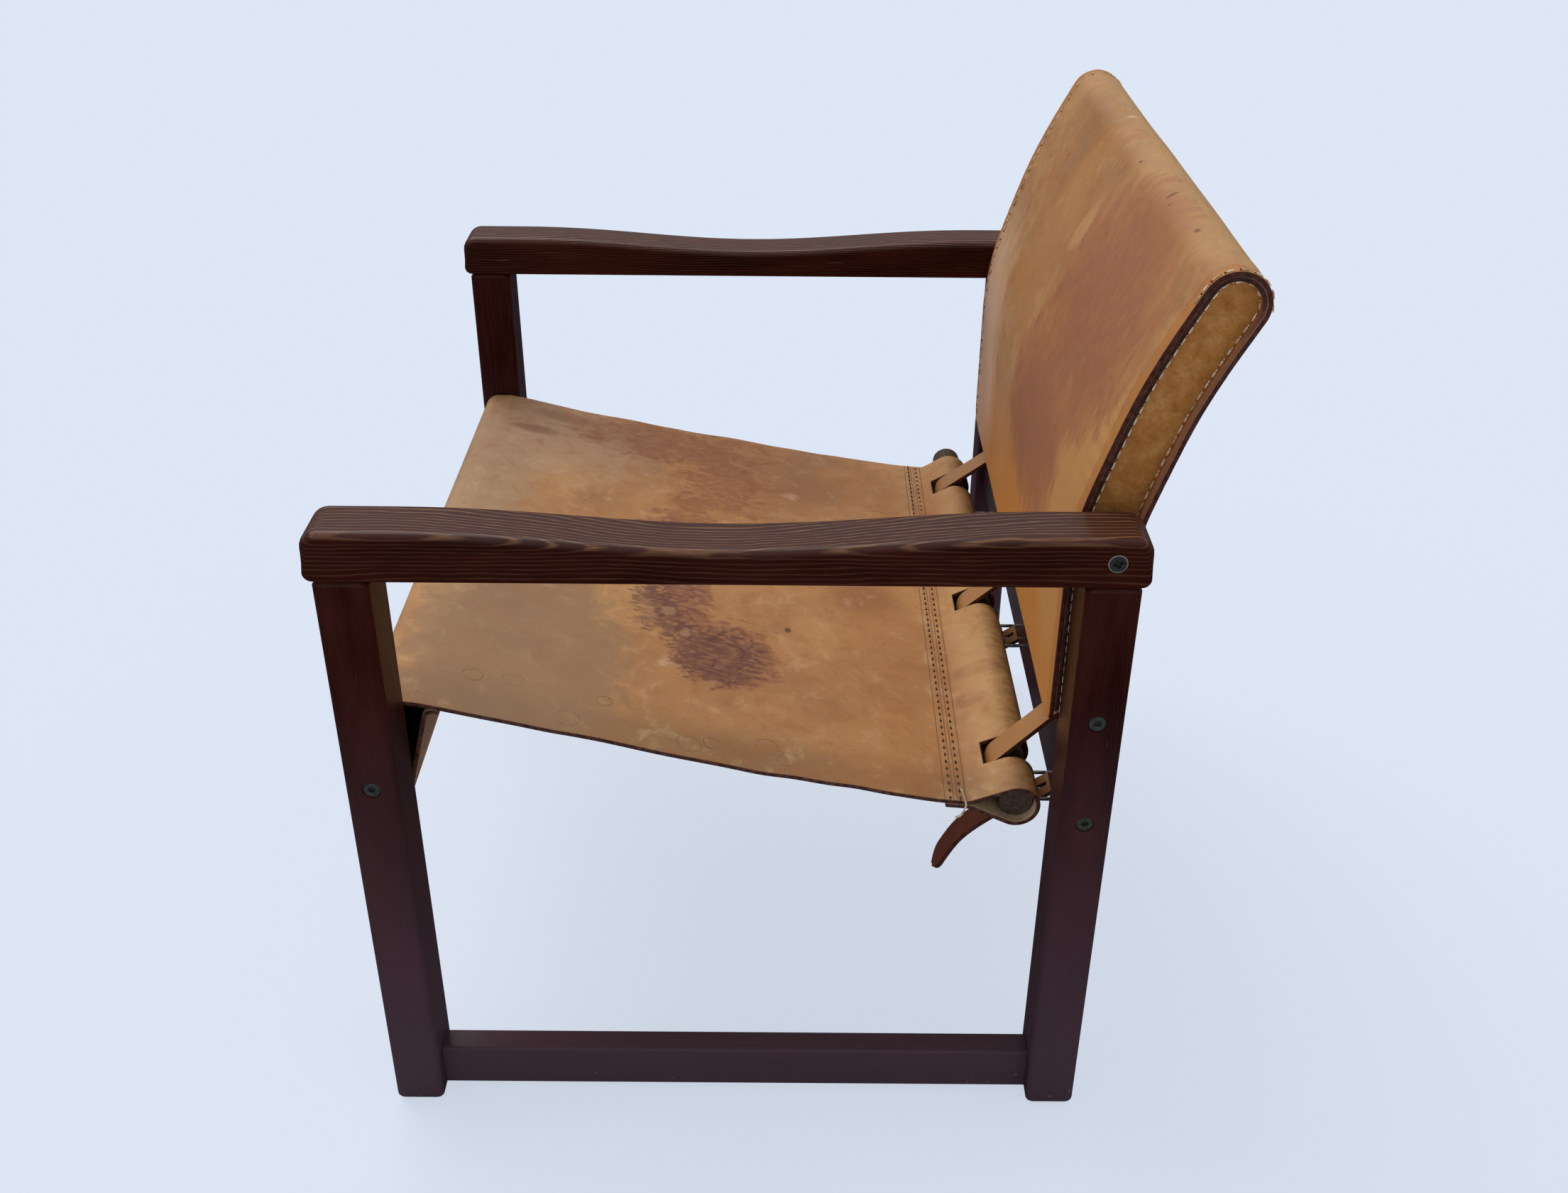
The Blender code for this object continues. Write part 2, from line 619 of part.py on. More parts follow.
def make_bolt(name, side, y, z, frame):
    """Socket head bolt, from its tip inside the rail to its head sunk in the leg."""
    top = OUTER_X - BOLT_SUNK
    seat = top - BOLT_HEAD_HEIGHT
    tip = CLEAR_WIDTH / 2 - BOLT_REACH
    shank = round_ring(BOLT_SHANK_RADIUS)
    rings = [
        (tip, round_ring(BOLT_SHANK_RADIUS - BOLT_EDGE)),
        (tip + BOLT_EDGE, shank),
        (seat, shank),
        (seat, round_ring(BOLT_HEAD_RADIUS)),
        (top - BOLT_EDGE, round_ring(BOLT_HEAD_RADIUS)),
        (top, round_ring(BOLT_HEAD_RADIUS - BOLT_EDGE)),
        (top, hexagon_ring(BOLT_SOCKET_ACROSS)),
        (top - BOLT_SOCKET_DEPTH, hexagon_ring(BOLT_SOCKET_ACROSS)),
    ]
    add_solid(name, loft(along_x([(side * x, ring) for x, ring in rings], y, z)), "black_steel", frame)


def make_cross_nut(name, side, y, z, frame):
    """Cross nut lying across the rail, with a clear hole where the bolt's thread runs."""
    x = side * (CLEAR_WIDTH / 2 - GAP - NUT_SETBACK)
    ring = round_ring(NUT_RADIUS, HIDDEN_STEPS)
    rings = [(y - NUT_LENGTH / 2, ring), (y + NUT_LENGTH / 2, ring)]
    nut = add_solid(name, loft(along_y(rings, x, z)), "bright_steel", frame)
    reach = NUT_RADIUS + OVERRUN
    hole = rod_x(x - reach, x + reach, y, z, BOLT_SHANK_RADIUS + GAP)
    use_tool(nut, add_solid(name + "_tool", hole, "bright_steel", frame))


def make_rails(frame):
    top, low, rear = FRONT_RAIL_TOP_RADIUS, FRONT_RAIL_LOW_RADIUS, REAR_RAIL_RADIUS
    front_radii = [top, top, low, low]
    rails = (
        ("front_rail", -LEG_Y, FRONT_RAIL_BOTTOM, FRONT_RAIL_HEIGHT, front_radii, 1),
        ("rear_rail_lower", LEG_Y, LOWER_RAIL_BOTTOM, REAR_RAIL_HEIGHT, [rear] * 4, -1),
        ("rear_rail_upper", LEG_Y, UPPER_RAIL_BOTTOM, REAR_RAIL_HEIGHT, [rear] * 4, -1),
    )
    for name, y, bottom, height, radii, nut_from in rails:
        make_rail(name, y, bottom, height, radii, nut_from, frame)
        for word, side in (("left", 1), ("right", -1)):
            make_bolt(f"{name}_bolt_{word}", side, y, bottom + height / 2, frame)
            make_cross_nut(f"{name}_nut_{word}", side, y, bottom + height / 2, frame)


# Sling seat

def left_share(x):
    """0 at the seat's right edge, 1 at its left edge."""
    return (x + SEAT_WIDTH / 2) / SEAT_WIDTH


def dowel_centre(x):
    """Side view place of the dowel's centre at x: it lies lower and further back on the left."""
    share = left_share(x)
    ahead = DOWEL_AHEAD_RIGHT + (DOWEL_AHEAD_LEFT - DOWEL_AHEAD_RIGHT) * share
    below = DOWEL_BELOW_RIGHT + (DOWEL_BELOW_LEFT - DOWEL_BELOW_RIGHT) * share
    return REAR_RAIL_FRONT - ahead, LOWER_RAIL_BOTTOM + REAR_RAIL_HEIGHT / 2 - below


def seat_profile(x):
    """Middle line of the seat leather at x, with the stations where the strap slots begin and end."""
    half = LEATHER / 2
    share = left_share(x)
    rail_y0 = -LEG_Y - RAIL_THICKNESS / 2
    rail_y1 = -LEG_Y + RAIL_THICKNESS / 2
    rail_top = FRONT_RAIL_BOTTOM + FRONT_RAIL_HEIGHT
    dowel_y, dowel_z = dowel_centre(x)
    bend_y = dowel_centre(SEAT_WIDTH / 2)[0] - HEM_AHEAD
    start = (rail_y1, rail_top + GAP + half)
    drop = SEAT_DROP_RIGHT + (SEAT_DROP_LEFT - SEAT_DROP_RIGHT) * share
    table = [
        (start[0] + (bend_y - start[0]) * run, start[1] - drop * (right + (left - right) * share))
        for run, left, right in SAG_SHARES
    ]
    sag = smooth(table, CURVE_STEPS)

    def height_at(y):
        for (y0, z0), (y1, z1) in zip(sag, sag[1:]):
            if y <= y1:
                return z0 + (z1 - z0) * (y - y0) / (y1 - y0)
        return sag[-1][1]

    ply = LEATHER + GAP
    flap_y = rail_y1 + FLAP_BACK
    low = FRONT_RAIL_LOW_RADIUS
    top = FRONT_RAIL_TOP_RADIUS
    wrap = belt(
        [
            (flap_y + FLAP_LAP, height_at(flap_y + FLAP_LAP) - ply, 0),
            (flap_y, height_at(flap_y) - ply - FLAP_BEND_RADIUS, FLAP_BEND_RADIUS),
            (rail_y1 - low, FRONT_RAIL_BOTTOM + low, -(low + GAP + half)),
            (rail_y0 + low, FRONT_RAIL_BOTTOM + low, -(low + GAP + half)),
            (rail_y0 + top, rail_top - top, -(top + GAP + half)),
            (*start, 0),
        ],
        WRAP_STEPS,
    )
    hem_y = bend_y - HEM_LENGTH
    roll = belt(
        [
            (*sag[-2], 0),
            (bend_y, sag[-1][1] + HEM_BEND_RADIUS, HEM_BEND_RADIUS),
            (dowel_y, dowel_z, -(DOWEL_RADIUS + GAP + half)),
            (bend_y, sag[-1][1] - ply - HEM_BEND_RADIUS, HEM_BEND_RADIUS),
            (hem_y, height_at(hem_y) - ply, 0),
        ],
        ROLL_STEPS,
    )
    slot_y = dowel_y - SLOT_AHEAD
    upper, lower = (roll[1][-1], roll[2][0]), (roll[2][-1], roll[3][0])

    def at_y(line, y):
        return between(*line, (y - line[0][0]) / (line[1][0] - line[0][0]))

    slot_start = [at_y(upper, slot_y + d) for d in (0, SLOT_CORNER)]
    slot_end = [at_y(lower, slot_y + d) for d in (SLOT_CORNER, 0)]
    before = [p for arc in wrap[:-1] for p in arc] + sag[:-1] + roll[1]
    inside = slot_start + roll[2] + slot_end
    profile = before + inside + roll[3] + roll[4]
    return profile, len(before), len(before) + len(inside) - 1


def make_seat(frame):
    """Sling sheet: wrapped round the front rail, hemmed round the dowel, slotted for the straps."""
    half = SLOT_WIDTH / 2
    edges = [-SEAT_WIDTH / 2]
    slots = []
    for centre in (-STRAP_SPACING, 0, STRAP_SPACING):
        slots.append(len(edges))
        edges += [centre - half, centre + half]
    edges.append(SEAT_WIDTH / 2)
    columns = []
    for j, x in enumerate(edges):
        profile, first, last = seat_profile(x)
        inward = 0
        if j in slots:
            inward = SLOT_CORNER
        if j - 1 in slots:
            inward = -SLOT_CORNER
        column = [(x, y, z) for y, z in profile]
        for station in (first, last):
            column[station] = (x + inward, *profile[station])
        columns.append(column)
    holes = {(j, i) for j in slots for i in range(first, last)}
    add_solid("seat_leather", strip(columns, LEATHER, holes), "saddle_leather", frame)


def make_dowel(frame):
    rings = []
    start = -SEAT_WIDTH / 2 - DOWEL_OUT_RIGHT
    end = SEAT_WIDTH / 2 - DOWEL_IN_LEFT
    stations = (
        (start, DOWEL_RADIUS - DOWEL_EDGE),
        (start + DOWEL_EDGE, DOWEL_RADIUS),
        (end - DOWEL_EDGE, DOWEL_RADIUS),
        (end, DOWEL_RADIUS - DOWEL_EDGE),
    )
    for x, radius in stations:
        y, z = dowel_centre(x)
        rings.append([(x, y + a, z + b) for a, b in round_ring(radius, DOWEL_STEPS)])
    add_solid("seat_dowel", loft(rings), "raw_wood", frame)


# Straps and buckles

def buckle_bars():
    """Side view places of the buckle's front and rear bars, which hang under the rear lower rail."""
    rear_y = REAR_RAIL_FRONT + BUCKLE_UNDER_RAIL
    z = LOWER_RAIL_BOTTOM - 2 * GAP - STRAP_THICKNESS - BUCKLE_WIRE_RADIUS
    return (rear_y - BUCKLE_LENGTH, z), (rear_y, z)


def strap_profile(x):
    """Middle line of a strap at x: folded end, buckle bar, dowel, rail, tail.

    It also gives the stretches of stations that are open in the middle, for the buckle's prong.
    """
    half = STRAP_THICKNESS / 2
    dowel_y, dowel_z = dowel_centre(x)
    (front_y, front_z), (rear_y, rear_z) = buckle_bars()
    bar = BUCKLE_WIRE_RADIUS + GAP + half
    around_dowel = (dowel_y, dowel_z, -(DOWEL_RADIUS + GAP + half))
    forward = heading_between((front_y, front_z, bar), around_dowel)
    ply = STRAP_THICKNESS + GAP - bar
    fold = (
        front_y + STRAP_FOLD * math.cos(forward) - ply * math.sin(forward),
        front_z + STRAP_FOLD * math.sin(forward) + ply * math.cos(forward),
        0,
    )
    corner = REAR_RAIL_RADIUS
    round_rail = -(corner + GAP + half)
    low, high = LOWER_RAIL_BOTTOM + corner, LOWER_RAIL_BOTTOM + REAR_RAIL_HEIGHT - corner
    front, back = REAR_RAIL_FRONT + corner, REAR_RAIL_FRONT + RAIL_THICKNESS - corner
    under_fold = bar + STRAP_THICKNESS + GAP
    tail = [
        (front_y - TAIL_REACH * reach, front_z - under_fold - TAIL_DROP * drop)
        for reach, drop in TAIL_SHARES
    ]
    arcs = belt(
        [
            fold,
            (front_y, front_z, bar),
            around_dowel,
            (front, high, round_rail),
            (back, high, round_rail),
            (back, low, round_rail),
            (rear_y, rear_z, bar),
            (front_y, front_z, -under_fold),
            (*tail[0], 0),
        ],
        STRAP_STEPS,
    )
    crossing = [between(arcs[6][-1], arcs[7][0], PRONG_HOLE_START_SHARE)]
    slot_start = [between(arcs[1][0], arcs[0][0], PRONG_SLOT / math.dist(arcs[1][0], arcs[0][0]))]
    slot_end = [between(arcs[1][-1], arcs[2][0], PRONG_SLOT / math.dist(arcs[1][-1], arcs[2][0]))]
    first_part = arcs[0] + slot_start + arcs[1] + slot_end
    second_part = first_part + [p for arc in arcs[2:7] for p in arc]
    profile = second_part + crossing + arcs[7] + smooth(tail, CURVE_STEPS)
    return profile, ((1, len(first_part) - 1), (len(second_part), len(second_part) + 3))


def make_strap(name, x, frame):
    profile, openings = strap_profile(x)
    half, hole = STRAP_WIDTH / 2, PRONG_HOLE_WIDTH / 2
    left_over = 0
    widths = [1.0] * len(profile)
    for i in range(len(profile) - 1, 0, -1):
        if left_over >= TAIL_TIP:
            break
        widths[i] = TIP_END_SHARE + (1 - TIP_END_SHARE) * (left_over / TAIL_TIP) ** TIP_ROUNDING
        left_over += math.dist(profile[i], profile[i - 1])
    columns = [
        [(x + offset * width, y, z) for (y, z), width in zip(strap_profile(x + offset)[0], widths)]
        for offset in (-half, -hole, hole, half)
    ]
    holes = {(1, i) for start, end in openings for i in range(start, end)}
    add_solid(name, strip(columns, STRAP_THICKNESS, holes), "strap_leather", frame)


def make_buckle(word, x, frame):
    """Wire frame of the buckle, and the prong that turns on its front bar and lies on its rear bar."""
    (front_y, z), (rear_y, _) = buckle_bars()
    outline = rounded_rectangle(BUCKLE_WIDTH / 2, BUCKLE_LENGTH / 2, [BUCKLE_CORNER] * 4)
    path = [(x + a, (front_y + rear_y) / 2 + b, z) for a, b in outline]
    add_solid("buckle_frame_" + word, wire(path, BUCKLE_WIRE_RADIUS, closed=True), "bright_steel", frame)
    ring = BUCKLE_WIRE_RADIUS + GAP + PRONG_RADIUS
    turns = [math.radians(a) for a in range(PRONG_EYE_START, PRONG_EYE_END + 1, PRONG_EYE_STEP)]
    loop = [(front_y + ring * math.sin(a), z - ring * math.cos(a)) for a in turns]
    tip = [(rear_y - BUCKLE_WIRE_RADIUS, z - ring), (rear_y + PRONG_PAST_BAR, z - ring + GAP)]
    path = [(x, y, height) for y, height in loop + tip]
    add_solid("buckle_prong_" + word, wire(path, PRONG_RADIUS), "bright_steel", frame)


# Back

def back_line(bottom):
    """Middle line of the back in the side view, from a height up to the centre of its round top."""
    rise = BACK_END_Z - BACK_BEND_START
    lean = [(BACK_Y + BACK_LEAN * out, BACK_BEND_START + rise * up) for up, out in LEAN_SHARES]
    return [(BACK_Y, bottom)] + smooth(lean, CURVE_STEPS)


def offset_side(line, distance):
    """The line moved sideways: a positive distance is towards the sitter."""
    moved = []
    for i, (y, z) in enumerate(line):
        y0, z0 = line[max(i - 1, 0)]
        y1, z1 = line[min(i + 1, len(line) - 1)]
        length = math.dist((y0, z0), (y1, z1))
        moved.append((y - distance * (z1 - z0) / length, z + distance * (y1 - y0) / length))
    return moved


def back_arch(half, front_bottom, rear_bottom):
    """Up the front of the back, over its round top and down behind, half a thickness from the middle."""
    front = offset_side(back_line(front_bottom), half)
    rear = offset_side(back_line(rear_bottom), -half)
    centre = back_line(rear_bottom)[-1]
    start = math.atan2(front[-1][1] - centre[1], front[-1][0] - centre[0])
    over = [start - math.pi * k / TOP_STEPS for k in range(1, TOP_STEPS)]
    top = [(centre[0] + half * math.cos(a), centre[1] + half * math.sin(a)) for a in over]
    return front + top + rear[::-1]


def make_hood(back):
    """Leather sheet folded over the top of the back, its lower corners rounded."""
    line = back_arch(BACK_HALF - LEATHER / 2, FRONT_HEM_HEIGHT, REAR_HEM_HEIGHT)
    (start_y, start_z), (end_y, end_z) = line[0], line[-1]
    steps = [(HEM_CORNER * (1 - math.cos(a)), HEM_CORNER * (1 - math.sin(a))) for a in quarter_angles()]
    front = [(start_y, start_z + rise, narrow) for rise, narrow in steps]
    rear = [(end_y, end_z + rise, narrow) for rise, narrow in reversed(steps)]
    stations = front + [(y, z, 0) for y, z in line[1:-1]] + rear
    half = HOOD_WIDTH / 2
    columns = []
    for x, share in ((-half, -1), (-half + HEM_CORNER, 0), (half - HEM_CORNER, 0), (half, 1)):
        columns.append([(x - share * narrow, y, z) for y, z, narrow in stations])
    add_solid("back_hood", strip(columns, LEATHER), "saddle_leather", back)


def band(half, bottom, x0, x1):
    """Plate with the side view of the back, between two places in X."""
    outline = back_arch(half, bottom, bottom)
    return loft([[(x, y, z) for y, z in outline] for x in (x0, x1)])


def make_gusset(word, side, back):
    """Suede side of the hood: a flange sewn inside the sheet's edge, and a panel across it."""
    name = "back_gusset_" + word
    reach = BACK_HALF - LEATHER - GAP - GUSSET_THICKNESS / 2
    line = back_arch(reach, FRONT_HEM_HEIGHT + HEM_CORNER, REAR_HEM_HEIGHT + HEM_CORNER)
    inner = GUSSET_X - GUSSET_THICKNESS
    columns = [[(side * x, y, z) for y, z in line] for x in (inner, HOOD_WIDTH / 2)]
    gusset = add_solid(name, strip(columns, GUSSET_THICKNESS), "suede", back)
    panel = band(reach, REAR_HEM_HEIGHT + GUSSET_PANEL_LIFT, side * (inner + GUSSET_BITE), side * GUSSET_X)
    use_tool(gusset, add_solid(name + "_panel_tool", panel, "suede", back), "UNION")
    hole_ends = (side * (inner - OVERRUN), side * (HOOD_WIDTH / 2 + OVERRUN))
    hole = rod_x(*hole_ends, LEG_Y, PIVOT_Z, SPACER_RADIUS + GAP)
    use_tool(gusset, add_solid(name + "_pivot_tool", hole, "suede", back))


def make_upright(word, side, back):
    """Curved upright inside the hood, drilled for the pivot's insert."""
    name = "back_upright_" + word
    half = BACK_HALF - LEATHER - GAP
    rings = []
    for end in (0, 1):
        for step in range(EDGE_STEPS + 1):
            angle = QUARTER * (EDGE_STEPS - step if end else step) / EDGE_STEPS
            inset = UPRIGHT_EDGE_RADIUS * (1 - math.sin(angle))
            from_face = UPRIGHT_EDGE_RADIUS * (1 - math.cos(angle))
            x = UPRIGHT_X - from_face if not end else UPRIGHT_X - UPRIGHT_WIDTH + from_face
            bottom = REAR_HEM_HEIGHT + inset
            rings.append([(side * x, y, z) for y, z in back_arch(half - inset, bottom, bottom)])
    upright = add_solid(name, loft(rings), "raw_wood", back)
    bore_end = UPRIGHT_X - INSERT_LENGTH - 2 * GAP
    hole = rod_x(side * bore_end, side * (UPRIGHT_X + OVERRUN), LEG_Y, PIVOT_Z, INSERT_RADIUS + GAP)
    use_tool(upright, add_solid(name + "_pivot_tool", hole, "raw_wood", back))


def make_back_rail(name, height_above, height, back):
    """Rail between the uprights, turned to the lean of the back where it sits."""
    line = smooth(back_line(REAR_HEM_HEIGHT), FINE_CURVE_STEPS)
    place = min(range(1, len(line) - 1), key=lambda i: abs(line[i][1] - height_above))
    y, z = line[place]
    (y0, z0), (y1, z1) = line[place - 1], line[place + 1]
    lean = math.atan2(y1 - y0, z1 - z0)
    end = UPRIGHT_X - UPRIGHT_WIDTH - GAP
    outline = rounded_rectangle(BACK_RAIL_THICKNESS / 2, height / 2, [BACK_RAIL_EDGE_RADIUS] * 4)
    across, up = math.sin(lean), math.cos(lean)
    section = [(a * up + b * across, b * up - a * across) for a, b in outline]
    add_solid(name, loft(along_x([(-end, section), (end, section)], y, z)), "raw_wood", back)


def make_pivot(word, side, back):
    """Screw through the armrest, its insert in the upright, and the spacer between the two."""
    top = OUTER_X - PIVOT_SUNK
    seat = top - PIVOT_HEAD_HEIGHT
    tip = UPRIGHT_X - PIVOT_REACH
    recess = cross_ring(PIVOT_CROSS_LENGTH, PIVOT_CROSS_WIDTH)
    shank = round_ring(PIVOT_SHANK_RADIUS, SCREW_STEPS)
    head = round_ring(PIVOT_HEAD_RADIUS, SCREW_STEPS)
    rings = [
        (tip, round_ring(PIVOT_SHANK_RADIUS - PIVOT_EDGE, SCREW_STEPS)),
        (tip + PIVOT_EDGE, shank),
        (seat, shank),
        (seat, head),
        (top - PIVOT_EDGE, head),
        (top, round_ring(PIVOT_HEAD_RADIUS - PIVOT_EDGE, SCREW_STEPS)),
        (top, recess),
        (top - PIVOT_CROSS_DEPTH, recess),
    ]
    screw = loft(along_x([(side * x, ring) for x, ring in rings], LEG_Y, PIVOT_Z))
    add_solid("pivot_screw_" + word, screw, "black_steel", back)
    bore = PIVOT_SHANK_RADIUS + GAP
    insert_ends = (side * (UPRIGHT_X - GAP - INSERT_LENGTH), side * (UPRIGHT_X - GAP))
    insert = tube_x(*insert_ends, LEG_Y, PIVOT_Z, INSERT_RADIUS, bore)
    add_solid("pivot_insert_" + word, insert, "bright_steel", back)
    spacer_ends = (side * (UPRIGHT_X + GAP), side * (CLEAR_WIDTH / 2 - GAP))
    spacer = tube_x(*spacer_ends, LEG_Y, PIVOT_Z, SPACER_RADIUS, bore)
    add_solid("pivot_spacer_" + word, spacer, "black_steel", back)


def centre_on_origin(root):
    """Moves the whole chair so that its outer box is centred on the origin, front to back."""
    rear = max(y for y, z in back_arch(BACK_HALF, REAR_HEM_HEIGHT, REAR_HEM_HEIGHT))
    front = -(FRAME_DEPTH / 2 + ARM_OVERHANG)
    root.location.y = -(front + rear) / 2


def main():
    clear_scene()
    frame = make_empty("chair", (0, 0, 0))
    back = make_empty("back_pivot", (0, LEG_Y, PIVOT_Z), frame)
    for word, side in (("left", 1), ("right", -1)):
        make_side_frame(word, side, frame)
        make_gusset(word, side, back)
        make_upright(word, side, back)
        make_pivot(word, side, back)
    make_rails(frame)
    make_seat(frame)
    make_dowel(frame)
    for word, x in (("left", STRAP_SPACING), ("middle", 0), ("right", -STRAP_SPACING)):
        make_strap("strap_" + word, x, frame)
        make_buckle(word, x, frame)
    make_hood(back)
    make_back_rail("back_rail_upper", BACK_TOP - BACK_TOP_RAIL_DROP, BACK_TOP_RAIL_HEIGHT, back)
    make_back_rail("back_rail_lower", REAR_HEM_HEIGHT + BACK_LOW_RAIL_LIFT, BACK_LOW_RAIL_HEIGHT, back)
    centre_on_origin(frame)


main()
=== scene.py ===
import math
import random

import bmesh
import bpy
from mathutils import Matrix, Vector, noise


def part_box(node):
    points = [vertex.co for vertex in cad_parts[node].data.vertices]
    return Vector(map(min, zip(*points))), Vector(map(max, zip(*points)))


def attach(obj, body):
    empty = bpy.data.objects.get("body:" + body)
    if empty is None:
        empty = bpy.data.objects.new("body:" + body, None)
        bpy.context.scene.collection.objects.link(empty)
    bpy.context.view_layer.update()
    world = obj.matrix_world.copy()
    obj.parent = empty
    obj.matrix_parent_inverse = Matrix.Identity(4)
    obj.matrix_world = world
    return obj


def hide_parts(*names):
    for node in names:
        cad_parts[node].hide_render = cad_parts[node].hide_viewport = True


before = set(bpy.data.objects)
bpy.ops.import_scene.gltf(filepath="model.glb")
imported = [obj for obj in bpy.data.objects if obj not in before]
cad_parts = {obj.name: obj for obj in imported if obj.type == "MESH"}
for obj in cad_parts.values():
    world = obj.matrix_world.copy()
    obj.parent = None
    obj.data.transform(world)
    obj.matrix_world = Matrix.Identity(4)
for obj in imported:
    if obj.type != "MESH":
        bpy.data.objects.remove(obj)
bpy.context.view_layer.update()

# Sizes and heights in metres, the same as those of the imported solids
GAP = 0.0003
CLEAR_WIDTH = 0.554
LEG_WIDTH = 0.046
LEG_DEPTH = 0.038
LEG_HEIGHT = 0.489
FRAME_DEPTH = 0.550
LEG_EDGE_RADIUS = 0.0045
FOOT_RADIUS = 0.007
SHOULDER_CHAMFER = 0.003
ARM_THICKNESS = 0.036
ARM_OVERHANG = 0.005
ARM_DIP = 0.011
ARM_EDGE_RADIUS = 0.007
ARM_LOW_EDGE_RADIUS = 0.002
ARM_TOP_END_RADIUS = 0.0125
ARM_LOW_END_RADIUS = 0.0065
ARM_DIP_LENGTH_SHARE = 0.86
ARM_DIP_POWER = 1.15
STRETCHER_WIDTH = 0.022
STRETCHER_HEIGHT = 0.0385
STRETCHER_LIFT = 0.0085
STRETCHER_EDGE_RADIUS = 0.003
RAIL_THICKNESS = 0.022
FRONT_RAIL_BOTTOM = 0.2765
FRONT_RAIL_HEIGHT = 0.082
FRONT_RAIL_TOP_RADIUS = 0.010
FRONT_RAIL_LOW_RADIUS = 0.004
LOWER_RAIL_BOTTOM = 0.255
UPPER_RAIL_BOTTOM = 0.3435
REAR_RAIL_HEIGHT = 0.073
REAR_RAIL_RADIUS = 0.009
BOLT_HEAD_RADIUS = 0.0063
BOLT_HEAD_HEIGHT = 0.0042
BOLT_SUNK = 0.0006
BOLT_EDGE = 0.0007
BOLT_SHANK_RADIUS = 0.003
BOLT_SOCKET_ACROSS = 0.005
BOLT_SOCKET_DEPTH = 0.0028
BOLT_REACH = 0.033
PIVOT_HEIGHT_IN_ARM = 0.0185
PIVOT_SHANK_RADIUS = 0.0035
PIVOT_HEAD_RADIUS = 0.0068
PIVOT_HEAD_HEIGHT = 0.004
PIVOT_SUNK = 0.0005
PIVOT_EDGE = 0.0008
PIVOT_CROSS_LENGTH = 0.0034
PIVOT_CROSS_WIDTH = 0.0012
PIVOT_CROSS_DEPTH = 0.0022
PIVOT_REACH = 0.024
LEATHER = 0.0038
SEAT_WIDTH = 0.550
SEAT_DROP_LEFT = 0.088
SEAT_DROP_RIGHT = 0.078
HEM_AHEAD = 0.0375
HEM_LENGTH = 0.0165
HEM_BEND_RADIUS = 0.010
FLAP_BACK = 0.026
FLAP_LAP = 0.005
FLAP_BEND_RADIUS = 0.006
SLOT_WIDTH = 0.027
SLOT_AHEAD = 0.021
STRAP_SPACING = 0.222
# Run back from the front rail, then the drop there at the left and at the right edge
SAG_SHARES = (
    (0.0, 0.0, 0.0),
    (0.055, 0.037, 0.065),
    (0.2, 0.205, 0.255),
    (0.42, 0.455, 0.49),
    (0.62, 0.68, 0.694),
    (0.82, 0.862, 0.876),
    (0.93, 0.965, 0.965),
    (1.0, 1.0, 1.0),
)
DOWEL_RADIUS = 0.01375
DOWEL_OUT_RIGHT = 0.026
DOWEL_IN_LEFT = 0.007
DOWEL_AHEAD_LEFT = 0.0305
DOWEL_AHEAD_RIGHT = 0.0385
DOWEL_BELOW_LEFT = 0.0222
DOWEL_BELOW_RIGHT = 0.0115
STRAP_WIDTH = 0.024
STRAP_THICKNESS = 0.0036
BUCKLE_WIRE_RADIUS = 0.0015
BUCKLE_WIDTH = 0.034
BUCKLE_LENGTH = 0.020
BUCKLE_CORNER = 0.0045
BUCKLE_UNDER_RAIL = 0.006
PRONG_RADIUS = 0.0011
PRONG_PAST_BAR = 0.0035
PRONG_HOLE_WIDTH = 0.0044
PRONG_HOLE_START_SHARE = 0.2
PRONG_SLOT = 0.006
STRAP_FOLD = 0.015
TAIL_REACH = 0.070
TAIL_DROP = 0.074
TAIL_SHARES = ((0.2, 0.06), (0.4, 0.2), (0.6, 0.36), (0.76, 0.53), (0.9, 0.77), (1.0, 1.0))
TAIL_TIP = 0.014
BACK_THICKNESS = 0.047
BACK_AHEAD = 0.002
BACK_BEND_START = 0.465
BACK_TOP = 0.691
BACK_LEAN = 0.0665
LEAN_SHARES = ((0.0, 0.0), (0.12, 0.026), (0.26, 0.1), (0.45, 0.275), (0.65, 0.485), (0.82, 0.715), (1.0, 1.0))
FRONT_HEM_HEIGHT = 0.345
REAR_HEM_HEIGHT = 0.425
HEM_CORNER = 0.012
HOOD_WIDTH = 0.550
GUSSET_THICKNESS = 0.0033
GUSSET_INSET = 0.0075
GUSSET_PANEL_LIFT = 0.024

# Places worked out from the sizes
SIDE_X = (CLEAR_WIDTH + LEG_WIDTH) / 2
OUTER_X = CLEAR_WIDTH / 2 + LEG_WIDTH
LEG_Y = (FRAME_DEPTH - LEG_DEPTH) / 2
ARM_BOTTOM = LEG_HEIGHT + GAP
REAR_RAIL_FRONT = LEG_Y - RAIL_THICKNESS / 2
PIVOT_Z = ARM_BOTTOM + PIVOT_HEIGHT_IN_ARM
BACK_HALF = BACK_THICKNESS / 2
BACK_Y = LEG_Y - BACK_AHEAD
BACK_END_Z = BACK_TOP - BACK_HALF
GUSSET_X = HOOD_WIDTH / 2 - GUSSET_INSET
UPRIGHT_X = GUSSET_X - GUSSET_THICKNESS - GAP
# The paths below have Y = 0 half way between the legs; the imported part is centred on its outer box.
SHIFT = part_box("armrest_left")[0].y + FRAME_DEPTH / 2 + ARM_OVERHANG
SIDES = (("left", 1), ("right", -1))
STRAPS = (("left", STRAP_SPACING), ("middle", 0), ("right", -STRAP_SPACING))
